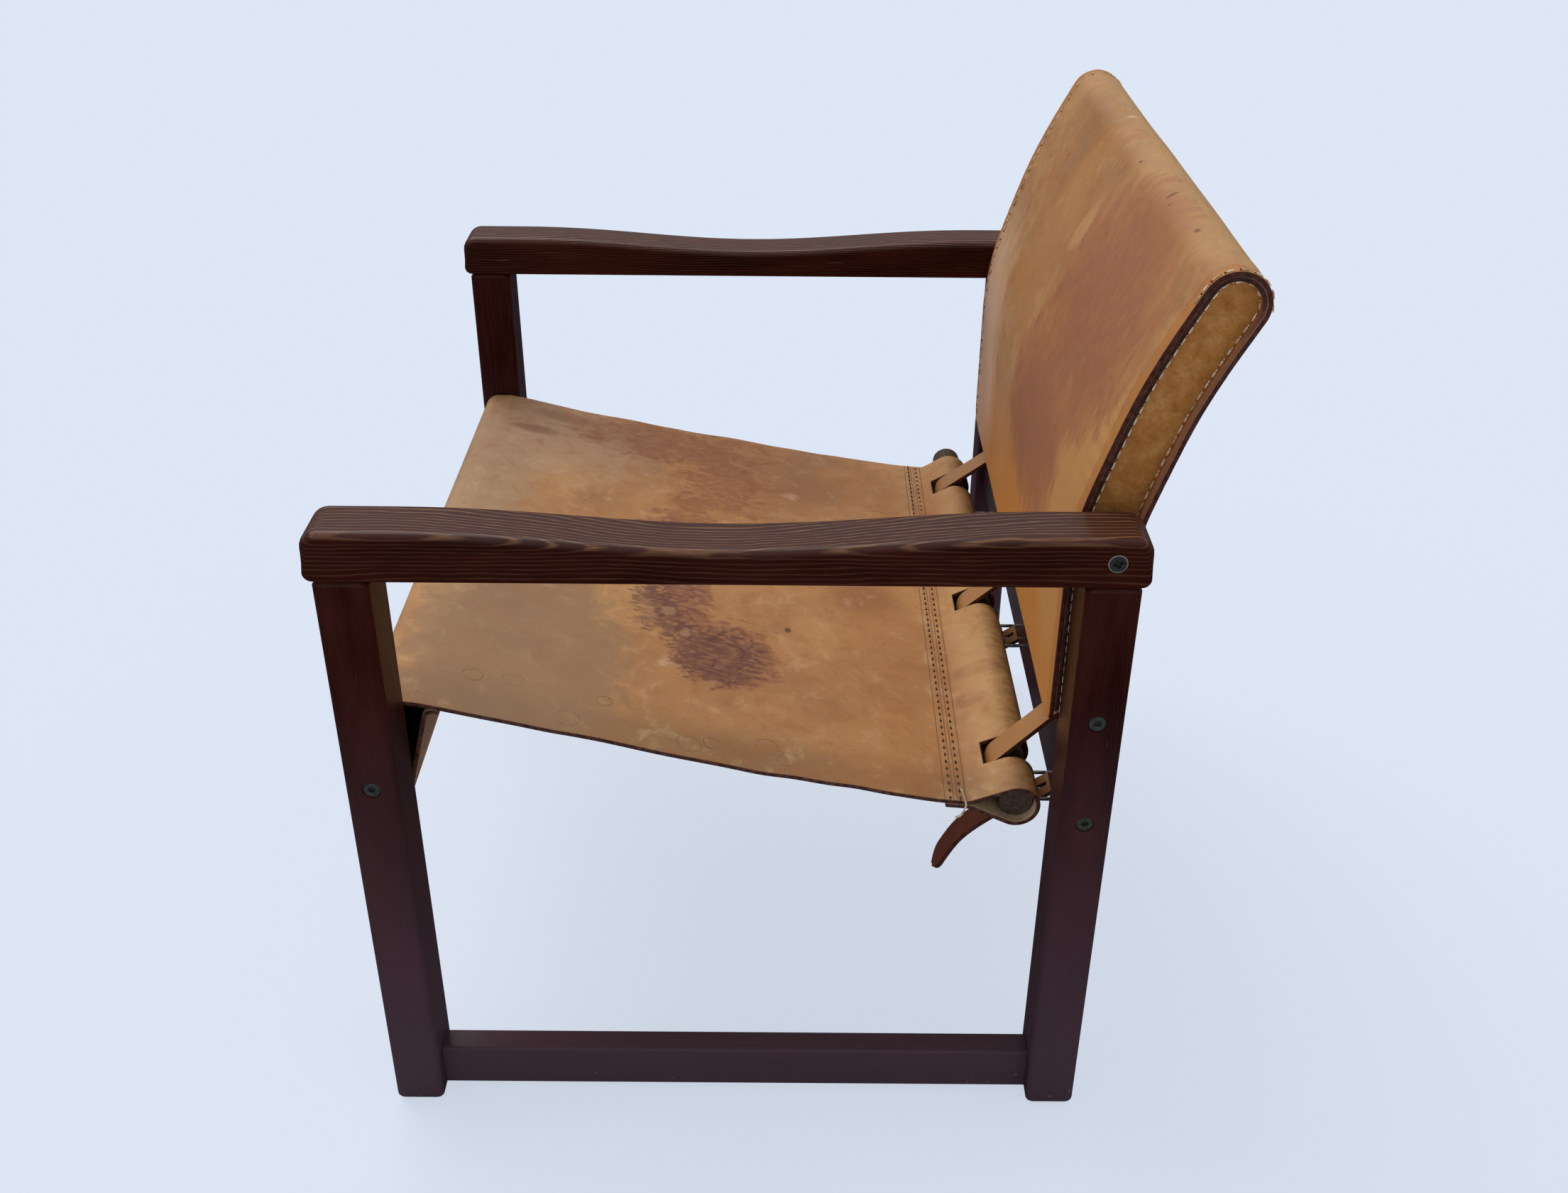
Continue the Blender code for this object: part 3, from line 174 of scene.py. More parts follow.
# Rails by node: Y, bottom, height, and the radii of the edges at the top and below
RAILS = (
    ("front_rail", -LEG_Y, FRONT_RAIL_BOTTOM, FRONT_RAIL_HEIGHT, FRONT_RAIL_TOP_RADIUS, FRONT_RAIL_LOW_RADIUS),
    ("rear_rail_lower", LEG_Y, LOWER_RAIL_BOTTOM, REAR_RAIL_HEIGHT, REAR_RAIL_RADIUS, REAR_RAIL_RADIUS),
    ("rear_rail_upper", LEG_Y, UPPER_RAIL_BOTTOM, REAR_RAIL_HEIGHT, REAR_RAIL_RADIUS, REAR_RAIL_RADIUS),
)

# Sizes of what only the looks have
POCKET_OVERRUN = 0.002
SOCKET_CHAMFER = 0.0006
SEAT_RIPPLE = 0.0011
SEAT_EDGE_WAVE = 0.0016
SEAT_EDGE_WANDER = 0.0007
WAVY_EDGE_START = 0.235
WAVY_EDGE_BAND = 0.04
SLACK_START = -0.20  # the sling is slack between these, away from the rail's wrap and the hem
SLACK_END = 0.14
SLACK_RISE = 0.08
SLACK_FALL = 0.06
DOWEL_CHAMFER = 0.0011
DOWEL_SHOULDER = 0.0012
DOWEL_SHOULDER_SUNK = 0.0002
DOWEL_ROUGH_SHARE = 0.012
STRAP_RIB_SHARES = (0.45, 0.72, 1)
STRAP_CUP = 0.0009
STRAP_CUP_LENGTH = 0.085
PRONG_CURL = (140, 360, 10)  # degrees round the bar: from, to and step
HOOD_RIPPLE = 0.0011
HOOD_EDGE_START_SHARE = 0.86
HOOD_PUCKER = 0.0005
HOOD_EDGE_SUNK = 0.0006
FLANGE_COLUMNS = 4
GUSSET_BEND = 0.0028
GUSSET_BEND_STEPS = 6
GUSSET_INNER_INSETS = (0.005, 0.009, 0.013)
GUSSET_CENTRE_HALF = 0.0012
GUSSET_BITE = 0.0002
GUSSET_DISH = 0.0012
GUSSET_DISH_WIDTH = 0.012
GUSSET_FOOT_CUTS = 8

# Seams: places of the rows, and the sizes of their stitches and of the holes between them, which are dark beads
# of painted shade
THREAD_LIFT = 0.00015
HEM_ROWS = (0.1640, 0.1716)
HEM_ROW_HALF = 0.2725
HEM_ROW_STEPS = 80
CLEAN_THREAD_END = -0.17
NEAR_SEAM_X = 0.2732
FAR_SEAM_X = 0.2600
NEAR_SEAM_SHOWS_FROM = 0.665
INNER_SEAM_X = 0.2738
INNER_SEAM_DRAWN_IN = 0.0022
SEAM_UP = 0.004
INNER_SEAM_UP = 0.002
INNER_SEAM_PROUD = 0.0005
SEAM_STEP = 0.01
HEM_STITCH = {"Pitch": 0.0088, "Length": 0.0056, "Radius": 0.0006}
HEM_HOLE = {"Pitch": 0.0088, "Length": 0.0030, "Radius": 0.0010, "Start": 0.0044}
SEAM_STITCH = {"Pitch": 0.0086, "Length": 0.0072, "Radius": 0.0007}
SEAM_HOLE = {"Pitch": 0.0086, "Length": 0.0012, "Radius": 0.0007, "Start": 0.0043}
LOOSE_THREAD_RADIUS = 0.0008
LOOSE_THREAD = (
    (-0.012, 0.001, 0.0005),
    (0.001, 0.003, 0.0006),
    (0.0043, 0.004, -0.004),
    (0.0045, 0.001, -0.012),
    (0.004, -0.003, -0.015),
)

# Stains, each given as a few ellipses: middle, half sizes and turn in degrees.
# On the seat a place is (x, y), and on the hood (x, distance up the leather from its front hem).
FAR_STAIN = (
    ((-0.24, -0.08), (0.05, 0.11), 0),
    ((-0.17, -0.02), (0.07, 0.05), 0),
    ((-0.06, -0.05), (0.10, 0.03), 0),
)
DARK_STAIN = (((0.02, -0.06), (0.12, 0.03), 10), ((0.13, -0.01), (0.05, 0.045), 0))
DARKEST_STREAKS = (((0.085, -0.07), (0.04, 0.02), 15), ((0.135, -0.02), (0.04, 0.035), 0))
# Not a stain: painted sheen that makes the seat's front greyer and lighter
SEAT_FRONT_SHEEN = (((0.18, -0.17), (0.13, 0.08), 0),)
RUBBED_PATCH = (((0.12, 0.27), (0.14, 0.10), 0), ((0.07, 0.15), (0.12, 0.08), 0))
MOTTLED_BAND = (((-0.09, 0.25), (0.08, 0.12), 0),)

# Single marks, also given one by one: middle, half sizes, turn, raggedness, softness, tint and its strength
SEAT_MARKS = (
    # The first mark is painted sheen: a greyer, lighter band along the seat's front
    ((-0.10, -0.235), (0.20, 0.04), 0, 0.9, 0.6, "#A08468", 0.75),
    ((-0.20, -0.17), (0.07, 0.07), 0, 1.0, 0.6, "#B08F74", 0.6),
    ((0.27, -0.02), (0.035, 0.30), 0, 0.9, 0.6, "#826040", 0.70),
    ((0.05, 0.12), (0.30, 0.04), 0, 1.0, 0.6, "#B27C4C", 0.5),
    ((-0.21, -0.215), (0.008, 0.022), 0, 3.6, 0.35, "#7A4A2C", 0.6),
    ((-0.25, -0.185), (0.010, 0.030), 0, 3.0, 0.5, "#7A5236", 0.5),
    ((0.0, 0.105), (0.030, 0.030), 0, 3.0, 0.5, "#8F5937", 0.6),
    ((-0.19, 0.06), (0.030, 0.040), 0, 3.0, 0.5, "#9A6A45", 0.6),
    ((0.075, 0.04), (0.004, 0.003), 0, 1.5, 0.4, "#4A2C20", 0.85),
    ((0.11, 0.20), (0.010, 0.022), 0, 2.0, 0.3, "#8A5332", 0.7),
    ((0.15, 0.19), (0.010, 0.012), 0, 2.0, 0.3, "#8F5836", 0.7),
    ((-0.20, 0.19), (0.05, 0.020), 0, 1.4, 0.5, "#B07040", 0.5),
    ((0.0, 0.20), (0.30, 0.015), 0, 0.6, 0.5, "#C2955F", 0.6),
    ((0.16, -0.06), (0.004, 0.003), 0, 1.6, 0.5, "#D2B28C", 0.4),
    ((-0.17, 0.04), (0.005, 0.010), 0, 3.6, 0.5, "#CDA987", 0.4),
)
SEAT_PALE_SPOTS = (
    ((0.11, -0.045), (0.007, 0.004), 0, 1.6, 0.35, "#B08662", 0.55),
    ((0.08, -0.06), (0.007, 0.006), 0, 1.6, 0.35, "#B08662", 0.55),
)
HOOD_BANDS = (
    ((0.0, 0.02), (0.40, 0.085), 0, 0.9, 0.5, "#C48238", 0.85),
    ((0.235, 0.16), (0.06, 0.11), -8, 0.8, 0.4, "#C48C52", 0.85),
    # This band is painted sheen: the pale, greyish reflection on the hood's lower far side
    ((-0.23, 0.10), (0.08, 0.11), 0, 1.0, 0.5, "#D4AE90", 0.80),
    ((-0.08, 0.17), (0.06, 0.12), 0, 1.2, 0.5, "#BD8F60", 0.6),
    ((0.0, 0.392), (0.40, 0.030), 0, 0.9, 0.5, "#BE935C", 0.85),
)
HOOD_MARKS = (
    ((-0.015, 0.285), (0.012, 0.022), -20, 1.8, 0.35, "#C0905C", 0.8),
    ((0.11, 0.36), (0.002, 0.004), 20, 3.0, 0.4, "#4A2A1C", 0.7),
    ((0.125, 0.355), (0.0015, 0.002), 0, 3.0, 0.4, "#5A3422", 0.6),
    ((0.19, 0.36), (0.003, 0.002), 0, 1.8, 0.4, "#5A3422", 0.7),
    ((0.015, 0.355), (0.002, 0.0015), 0, 1.2, 0.3, "#4A2A1C", 0.7),
    ((-0.105, 0.37), (0.003, 0.004), 0, 1.2, 0.5, "#DCC49C", 0.6),
)
# Punched holes, painted as near-black spots: painted shade inside them, with no opening cut
STRAP_HOLES = (
    ((0.0, 0.405), (0.0016, 0.0020), 0, 0.2, 0.3, "#1E0F0A", 0.9),
    ((0.0, 0.427), (0.0016, 0.0020), 0, 0.2, 0.3, "#1E0F0A", 0.9),
)
# Dried rings along the seat's near edge, and creases on both sides of its two rows of stitches
RING_COUNT = 9
RING_ROW_X = 0.25
RING_ROW_START = -0.19
RING_ROW_STEP = 0.03
SEAT_CREASES = (0.160, 0.1665, 0.1695, 0.176)

# Palettes of the stained wood: dark and mid brown, the lighter tint on upward faces (wear and painted sheen),
# and the grain's late rings
ARM_PALETTE = ("#240802", "#3C1106", "#5E4034", "#A07452")
LEG_PALETTE = ("#260A06", "#3F160E", "#3C2018", "#6A3219")
LATE_RINGS = ((0.0, "#000000"), (0.60, "#1E1E1E"), (0.82, "#FFFFFF"), (0.92, "#CCCCCC"), (1.0, "#000000"))
BACKDROP = "#DEE6F3"

# Camera, fitted to the photograph; its angles are in degrees
PHOTO_WIDTH = 2209
LENS_IN_PHOTO_PIXELS = 2238.4
SHIFT_IN_PHOTO_PIXELS = -12.9
SENSOR_WIDTH_MM = 36.0
CAMERA_PLACE = (1.2255, 0.0409, 1.0202)
CAMERA_HEADING = 89.83
CAMERA_DOWN = 30.82
CAMERA_ROLL = 0.54
FLOOR_HALF = 30

# Facets of the finished pieces
ROUND_STEPS = 6
RAIL_ROUND_STEPS = 10
BOLT_STEPS = 48
DIP_STEPS = 60
SHEET_STEP = 0.0055
STRAP_STEP = 0.003
CURVE_STEPS = 5
TOP_STEPS = 36
WIRE_STEPS = 12
DOWEL_STEPS = 40
DOWEL_ROUND_STEPS = 32
WRAP_STEPS = (1, 6, 8, 8, 12, 1)
ROLL_STEPS = (1, 6, 40, 6, 1)
STRAP_STEPS = (1, 10, 24, 8, 8, 12, 8, 8, 1)
SCREW_SHARP = 28
QUARTER = math.pi / 2


def linear(hex_colour):
    """sRGB hex text as linear red, green, blue and an alpha of 1."""
    channels = [int(hex_colour[i : i + 2], 16) / 255 for i in (1, 3, 5)]
    return [c / 12.92 if c <= 0.04045 else ((c + 0.055) / 1.055) ** 2.4 for c in channels] + [1.0]


# Shapes

def loft(rings, closed=False):
    """Skin over rings of equal length, capped at both ends unless it closes on itself."""
    count = len(rings[0])
    points = [point for ring in rings for point in ring]
    faces = []
    for level in range(len(rings) if closed else len(rings) - 1):
        low, high = level * count, (level + 1) % len(rings) * count
        for i in range(count):
            j = (i + 1) % count
            faces.append((low + i, low + j, high + j, high + i))
    if not closed:
        faces += [tuple(range(count)), tuple(range(len(points) - count, len(points)))]
    return points, faces


def rounded_rectangle(half_a, half_b, radii, steps=ROUND_STEPS):
    signs = ((1, 1), (-1, 1), (-1, -1), (1, -1))
    outline = []
    for quarter, ((sign_a, sign_b), radius) in enumerate(zip(signs, radii)):
        for step in range(steps + 1):
            angle = QUARTER * (quarter + step / steps)
            a = sign_a * (half_a - radius) + radius * math.cos(angle)
            b = sign_b * (half_b - radius) + radius * math.sin(angle)
            outline.append((a, b))
    return outline


def polar_ring(radius_at, steps=BOLT_STEPS):
    """Closed outline whose radius is given for each angle."""
    angles = [2 * math.pi * i / steps for i in range(steps)]
    return [(radius_at(a) * math.cos(a), radius_at(a) * math.sin(a)) for a in angles]


def round_ring(radius, steps=BOLT_STEPS):
    return polar_ring(lambda angle: radius, steps)


def hexagon_ring(across):
    return polar_ring(lambda angle: across / 2 / math.cos(angle % (math.pi / 3) - math.pi / 6))


def cross_ring(length, width):
    def radius_at(angle):
        a = max(abs(math.cos(angle)), 1e-6)
        b = max(abs(math.sin(angle)), 1e-6)
        return max(min(length / a, width / b), min(width / a, length / b))

    return polar_ring(radius_at)


def turned(ring, angle):
    c, s = math.cos(angle), math.sin(angle)
    return [(a * c - b * s, a * s + b * c) for a, b in ring]


def along_x(rings, y, z):
    return [[(x, y + a, z + b) for a, b in outline] for x, outline in rings]


def along_y(rings, x, z):
    return [[(x + a, y, z + b) for a, b in outline] for y, outline in rings]


def along_z(rings, x, y):
    return [[(x + a, y + b, z) for a, b in outline] for z, outline in rings]


def wire(path, radius, steps=WIRE_STEPS, closed=False):
    """Round wire along points; its sections turn with the path."""
    rings = []
    count = len(path)
    side = Vector((0, 0, 1)) if closed else Vector((1, 0, 0))
    for i, point in enumerate(path):
        before = path[i - 1] if closed or i else point
        after = path[(i + 1) % count] if closed or i < count - 1 else point
        heading = (Vector(after) - Vector(before)).normalized()
        across = heading.cross(side)
        if across.length < 0.1:
            across = heading.cross(Vector((0, 1, 0)))
        across.normalize()
        up = across.cross(heading).normalized()
        rings.append([Vector(point) + across * a + up * b for a, b in round_ring(radius, steps)])
    return loft(rings, closed)


# Paths in the side view, as (y, z)

def heading_between(first, second):
    (y1, z1, r1), (y2, z2, r2) = first, second
    shift = r2 - r1
    run = math.sqrt((y2 - y1) ** 2 + (z2 - z1) ** 2 - shift**2)
    return math.atan2(z2 - z1, y2 - y1) - math.atan2(shift, run)


def belt(wheels, steps):
    """Arcs of a belt round the wheels (y, z, signed radius); an end, or a bare point, has radius 0."""
    headings = [heading_between(a, b) for a, b in zip(wheels, wheels[1:])]
    arcs = []
    for i, ((y, z, radius), count) in enumerate(zip(wheels, steps)):
        if not radius:
            arcs.append([(y, z)])
            continue
        sign = math.copysign(1, radius)
        turn = (headings[i] - headings[i - 1]) * sign % (2 * math.pi)
        angles = [headings[i - 1] + sign * turn * k / count for k in range(count + 1)]
        arcs.append([(y + radius * math.sin(a), z - radius * math.cos(a)) for a in angles])
    return arcs


def between(first, second, share):
    return tuple(a + (b - a) * share for a, b in zip(first, second))


def smooth(points, steps=CURVE_STEPS):
    """Curve through the points, with a few short steps from each to the next."""
    padded = [between(points[1], points[0], 2)] + list(points) + [between(points[-2], points[-1], 2)]
    curve = []
    for p0, p1, p2, p3 in zip(padded, padded[1:], padded[2:], padded[3:]):
        for k in range(steps):
            t = k / steps
            curve.append(tuple(
                b + 0.5 * t * (c - a + t * (2 * a - 5 * b + 4 * c - d + t * (3 * b - a - 3 * c + d)))
                for a, b, c, d in zip(p0, p1, p2, p3)
            ))
    return curve + [tuple(points[-1])]


def across_seat(right, left, x):
    """A size of the seat at x, which runs evenly from its right edge to its left one."""
    return right + (left - right) * ((x + SEAT_WIDTH / 2) / SEAT_WIDTH)


def dowel_centre(x):
    ahead = across_seat(DOWEL_AHEAD_RIGHT, DOWEL_AHEAD_LEFT, x)
    below = across_seat(DOWEL_BELOW_RIGHT, DOWEL_BELOW_LEFT, x)
    return REAR_RAIL_FRONT - ahead, LOWER_RAIL_BOTTOM + REAR_RAIL_HEIGHT / 2 - below


def sag_line(x):
    """Middle line of the hanging part of the seat at x, from the front rail's back edge to the hem's bend."""
    start = (-LEG_Y + RAIL_THICKNESS / 2, FRONT_RAIL_BOTTOM + FRONT_RAIL_HEIGHT + GAP + LEATHER / 2)
    bend_y = dowel_centre(SEAT_WIDTH / 2)[0] - HEM_AHEAD
    drop = across_seat(SEAT_DROP_RIGHT, SEAT_DROP_LEFT, x)
    return smooth([
        (start[0] + (bend_y - start[0]) * run, start[1] - drop * across_seat(right, left, x))
        for run, left, right in SAG_SHARES
    ])


def height_on(line, y):
    for (y0, z0), (y1, z1) in zip(line, line[1:]):
        if y <= y1:
            return z0 + (z1 - z0) * (y - y0) / (y1 - y0)
    return line[-1][1]


def seat_profile(x):
    """Middle line of the seat leather at x, with the stations where the strap slots begin and end."""
    half = LEATHER / 2
    rail_y0 = -LEG_Y - RAIL_THICKNESS / 2
    rail_y1 = -LEG_Y + RAIL_THICKNESS / 2
    rail_top = FRONT_RAIL_BOTTOM + FRONT_RAIL_HEIGHT
    dowel_y, dowel_z = dowel_centre(x)
    sag = sag_line(x)
    start, (bend_y, bend_z) = sag[0], sag[-1]
    ply = LEATHER + GAP
    flap_y = rail_y1 + FLAP_BACK
    low, top = FRONT_RAIL_LOW_RADIUS, FRONT_RAIL_TOP_RADIUS
    wrap = belt(
        [
            (flap_y + FLAP_LAP, height_on(sag, flap_y + FLAP_LAP) - ply, 0),
            (flap_y, height_on(sag, flap_y) - ply - FLAP_BEND_RADIUS, FLAP_BEND_RADIUS),
            (rail_y1 - low, FRONT_RAIL_BOTTOM + low, -(low + GAP + half)),
            (rail_y0 + low, FRONT_RAIL_BOTTOM + low, -(low + GAP + half)),
            (rail_y0 + top, rail_top - top, -(top + GAP + half)),
            (*start, 0),
        ],
        WRAP_STEPS,
    )
    hem_y = bend_y - HEM_LENGTH
    roll = belt(
        [
            (*sag[-2], 0),
            (bend_y, bend_z + HEM_BEND_RADIUS, HEM_BEND_RADIUS),
            (dowel_y, dowel_z, -(DOWEL_RADIUS + GAP + half)),
            (bend_y, bend_z - ply - HEM_BEND_RADIUS, HEM_BEND_RADIUS),
            (hem_y, height_on(sag, hem_y) - ply, 0),
        ],
        ROLL_STEPS,
    )
    slot_y = dowel_y - SLOT_AHEAD
    slot_start, slot_end = (
        between(a, b, (slot_y - a[0]) / (b[0] - a[0]))
        for a, b in ((roll[1][-1], roll[2][0]), (roll[2][-1], roll[3][0]))
    )
    before = [p for arc in wrap[:-1] for p in arc] + sag[:-1] + roll[1]
    inside = [slot_start] + roll[2] + [slot_end]
    return before + inside + roll[3] + roll[4], len(before), len(before) + len(inside) - 1


def seat_top(x, y):
    """Height of the seat's upper face, ahead of the roll."""
    profile, _, _ = seat_profile(x)
    sag = sag_line(x)
    first = profile.index(sag[0])
    return height_on(profile[first : first + len(sag) + ROLL_STEPS[1] + 1], y) + LEATHER / 2


def buckle_bars():
    rear_y = REAR_RAIL_FRONT + BUCKLE_UNDER_RAIL
    z = LOWER_RAIL_BOTTOM - 2 * GAP - STRAP_THICKNESS - BUCKLE_WIRE_RADIUS
    return (rear_y - BUCKLE_LENGTH, z), (rear_y, z)


def strap_profile(x):
    """Middle line of a strap at x, with its stretches that are open in the middle for the prong."""
    half = STRAP_THICKNESS / 2
    dowel_y, dowel_z = dowel_centre(x)
    (front_y, front_z), (rear_y, rear_z) = buckle_bars()
    bar = BUCKLE_WIRE_RADIUS + GAP + half
    around_dowel = (dowel_y, dowel_z, -(DOWEL_RADIUS + GAP + half))
    forward = heading_between((front_y, front_z, bar), around_dowel)
    ply = STRAP_THICKNESS + GAP - bar
    fold = (
        front_y + STRAP_FOLD * math.cos(forward) - ply * math.sin(forward),
        front_z + STRAP_FOLD * math.sin(forward) + ply * math.cos(forward),
        0,
    )
    corner = REAR_RAIL_RADIUS
    round_rail = -(corner + GAP + half)
    low, high = LOWER_RAIL_BOTTOM + corner, LOWER_RAIL_BOTTOM + REAR_RAIL_HEIGHT - corner
    front, back = REAR_RAIL_FRONT + corner, REAR_RAIL_FRONT + RAIL_THICKNESS - corner
    under_fold = bar + STRAP_THICKNESS + GAP
    tail = [
        (front_y - TAIL_REACH * reach, front_z - under_fold - TAIL_DROP * drop)
        for reach, drop in TAIL_SHARES
    ]
    arcs = belt(
        [
            fold,
            (front_y, front_z, bar),
            around_dowel,
            (front, high, round_rail),
            (back, high, round_rail),
            (back, low, round_rail),
            (rear_y, rear_z, bar),
            (front_y, front_z, -under_fold),
            (*tail[0], 0),
        ],
        STRAP_STEPS,
    )
    crossing = [between(arcs[6][-1], arcs[7][0], PRONG_HOLE_START_SHARE)]
    slot_start, slot_end = (
        [between(a, b, PRONG_SLOT / math.dist(a, b))]
        for a, b in ((arcs[1][0], arcs[0][0]), (arcs[1][-1], arcs[2][0]))
    )
    first_part = arcs[0] + slot_start + arcs[1] + slot_end
    second_part = first_part + [p for arc in arcs[2:7] for p in arc]
    profile = second_part + crossing + arcs[7] + smooth(tail)
    return profile, ((1, len(first_part) - 1), (len(second_part), len(second_part) + 5))


def back_line(bottom):
    rise = BACK_END_Z - BACK_BEND_START
    lean = [(BACK_Y + BACK_LEAN * out, BACK_BEND_START + rise * up) for up, out in LEAN_SHARES]
    return [(BACK_Y, bottom)] + smooth(lean)


def outward(line, i):
    """Unit direction to the left of the line at its point i."""
    y0, z0 = line[max(i - 1, 0)]
    y1, z1 = line[min(i + 1, len(line) - 1)]
    length = math.dist((y0, z0), (y1, z1))
    return -(z1 - z0) / length, (y1 - y0) / length


def offset_side(line, distance):
    moved = []
    for i, (y, z) in enumerate(line):
        out_y, out_z = outward(line, i)
        moved.append((y + distance * out_y, z + distance * out_z))
    return moved


def back_arch(half, front_bottom, rear_bottom):
    """Up the front of the back, over its round top and down behind, half a thickness from the middle."""
    front = offset_side(back_line(front_bottom), half)
    rear = offset_side(back_line(rear_bottom), -half)
    centre = back_line(rear_bottom)[-1]
    start = math.atan2(front[-1][1] - centre[1], front[-1][0] - centre[0])
    angles = [start - math.pi * k / TOP_STEPS for k in range(1, TOP_STEPS)]
    top = [(centre[0] + half * math.cos(a), centre[1] + half * math.sin(a)) for a in angles]
    return front + top + rear[::-1]


def cut_counts(line, longest):
    return [max(1, round(math.dist(a, b) / longest)) for a, b in zip(line, line[1:])]


def divided(line, counts):
    """The line with each stretch cut into its number of equal parts."""
    fine = []
    for a, b, count in zip(line, line[1:], counts):
        fine += [between(a, b, k / count) for k in range(count)]
    return fine + [tuple(line[-1])]


def finely(line, longest=SHEET_STEP):
    return divided(line, cut_counts(line, longest))


def lengths_along(line):
    run = [0.0]
    for a, b in zip(line, line[1:]):
        run.append(run[-1] + math.dist(a, b))
    return run


# Pieces

def linked(name, data):
    """New object of the scene that holds the data."""
    obj = bpy.data.objects.new(name, data)
    bpy.context.scene.collection.objects.link(obj)
    return obj


def new_object(name, points, faces=(), edges=()):
    """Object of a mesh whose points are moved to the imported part's place."""
    mesh = bpy.data.meshes.new(name)
    mesh.from_pydata([Vector(p) + Vector((0, SHIFT, 0)) for p in points], edges, faces)
    return linked(name, mesh)


def put_modifiers(obj, *modifiers):
    """Adds the modifiers, makes their result the object's own mesh, and leaves none on it."""
    for kind, settings in modifiers:
        modifier = obj.modifiers.new(kind.lower(), kind)
        for key, value in settings.items():
            setattr(modifier, key, value)
    graph = bpy.context.evaluated_depsgraph_get()
    result = obj.evaluated_get(graph)
    mesh = bpy.data.meshes.new_from_object(result, preserve_all_data_layers=True, depsgraph=graph)
    obj.modifiers.clear()
    old = obj.data
    obj.data = mesh
    bpy.data.meshes.remove(old)


def clean_mesh(obj, turn_outwards=True):
    """Drops the points that no face uses and, for a closed shape, turns its faces outwards."""
    work = bmesh.new()
    work.from_mesh(obj.data)
    bmesh.ops.delete(work, geom=[v for v in work.verts if not v.link_faces], context="VERTS")
    if turn_outwards:
        bmesh.ops.recalc_face_normals(work, faces=work.faces)
    work.to_mesh(obj.data)
    work.free()


def place(obj, body, slot, *nodes):
    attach(obj, body)
    if nodes:
        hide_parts(*nodes)


def solid_piece(name, shape, material, body, slot, *nodes, sharp=35, tools=()):
    """Closed rigid piece with weighted normals; tools are shapes that are cut out of it."""
    obj = new_object(name, *shape)
    clean_mesh(obj)
    obj.data.materials.append(material)
    for number, tool_shape in enumerate(tools):
        tool = new_object(f"{name}_tool_{number}", *tool_shape)
        clean_mesh(tool)
        put_modifiers(obj, ("BOOLEAN", {"object": tool, "operation": "DIFFERENCE", "solver": "EXACT"}))
        bpy.data.objects.remove(tool)
    obj.data.shade_smooth()
    obj.data.set_sharp_from_angle(angle=math.radians(sharp))
    put_modifiers(obj, ("WEIGHTED_NORMAL", {"keep_sharp": True, "weight": 80}))
    place(obj, body, slot, *nodes)


def sheet_piece(name, columns, thickness, materials, runs, holes=(), across=None):
    """Leather of even thickness over a grid of middle points.

    Its materials are grain side, flesh side and cut edge. Its UV is the place across and along it in metres.
    """
    count = len(columns[0])
    points = [point for column in columns for point in column]
    cells = [(j, i) for j in range(len(columns) - 1) for i in range(count - 1) if (j, i) not in holes]
    faces = [(j * count + i, (j + 1) * count + i, (j + 1) * count + i + 1, j * count + i + 1) for j, i in cells]
    obj = new_object(name, points, faces)
    layer = obj.data.uv_layers.new(name="along_the_hide")
    for loop in obj.data.loops:
        j, i = divmod(loop.vertex_index, count)
        layer.data[loop.index].uv = (across[j] if across else columns[j][i][0], runs[i])
    clean_mesh(obj, turn_outwards=False)
    for material in materials:
        obj.data.materials.append(material)
    obj.data.shade_smooth()
    steep = math.radians(50)
    put_modifiers(
        obj,
        ("SOLIDIFY", {"thickness": thickness, "offset": 0, "material_offset": 1, "material_offset_rim": 2}),
        ("BEVEL", {"width": thickness / 4, "segments": 2, "limit_method": "ANGLE", "angle_limit": steep}),
        ("WEIGHTED_NORMAL", {"keep_sharp": False, "weight": 60}),
    )
    return obj


def join_objects(name, objects):
    work = bmesh.new()
    materials = []
    for obj in objects:
        mesh = obj.data.copy()
        for polygon in mesh.polygons:
            material = mesh.materials[polygon.material_index]
            if material not in materials:
                materials.append(material)
            polygon.material_index = materials.index(material)
        work.from_mesh(mesh)
        bpy.data.meshes.remove(mesh)
    result = bpy.data.meshes.new(name)
    work.to_mesh(result)
    work.free()
    for material in materials:
        result.materials.append(material)
    for obj in objects:
        bpy.data.objects.remove(obj)
    return linked(name, result)


def arm_outline(inset, low_inset):
    """Side view of an armrest, shrunk by insets: flat below, rounded ends, and a dip in the top."""
    half = FRAME_DEPTH / 2 + ARM_OVERHANG - inset
    low_half = FRAME_DEPTH / 2 + ARM_OVERHANG - low_inset
    low, high = ARM_BOTTOM + low_inset, ARM_BOTTOM + ARM_THICKNESS - inset
    low_radius, top_radius = ARM_LOW_END_RADIUS - low_inset, ARM_TOP_END_RADIUS - inset
    angles = [QUARTER * k / ROUND_STEPS for k in range(ROUND_STEPS + 1)]
    end = [(low_half - low_radius * (1 - math.sin(a)), low + low_radius * (1 - math.cos(a))) for a in angles]
    end += [(half - top_radius * (1 - math.cos(a)), high - top_radius * (1 - math.sin(a))) for a in angles]
    span = (half - top_radius) * ARM_DIP_LENGTH_SHARE
    dip = []
    for k in range(DIP_STEPS + 1):
        along = 1 - 2 * k / DIP_STEPS
        sink = ARM_DIP * ((1 + math.cos(math.pi * along)) / 2) ** ARM_DIP_POWER
        dip.append((span * along, high - sink))
    return end + dip + [(-y, z) for y, z in reversed(end)]


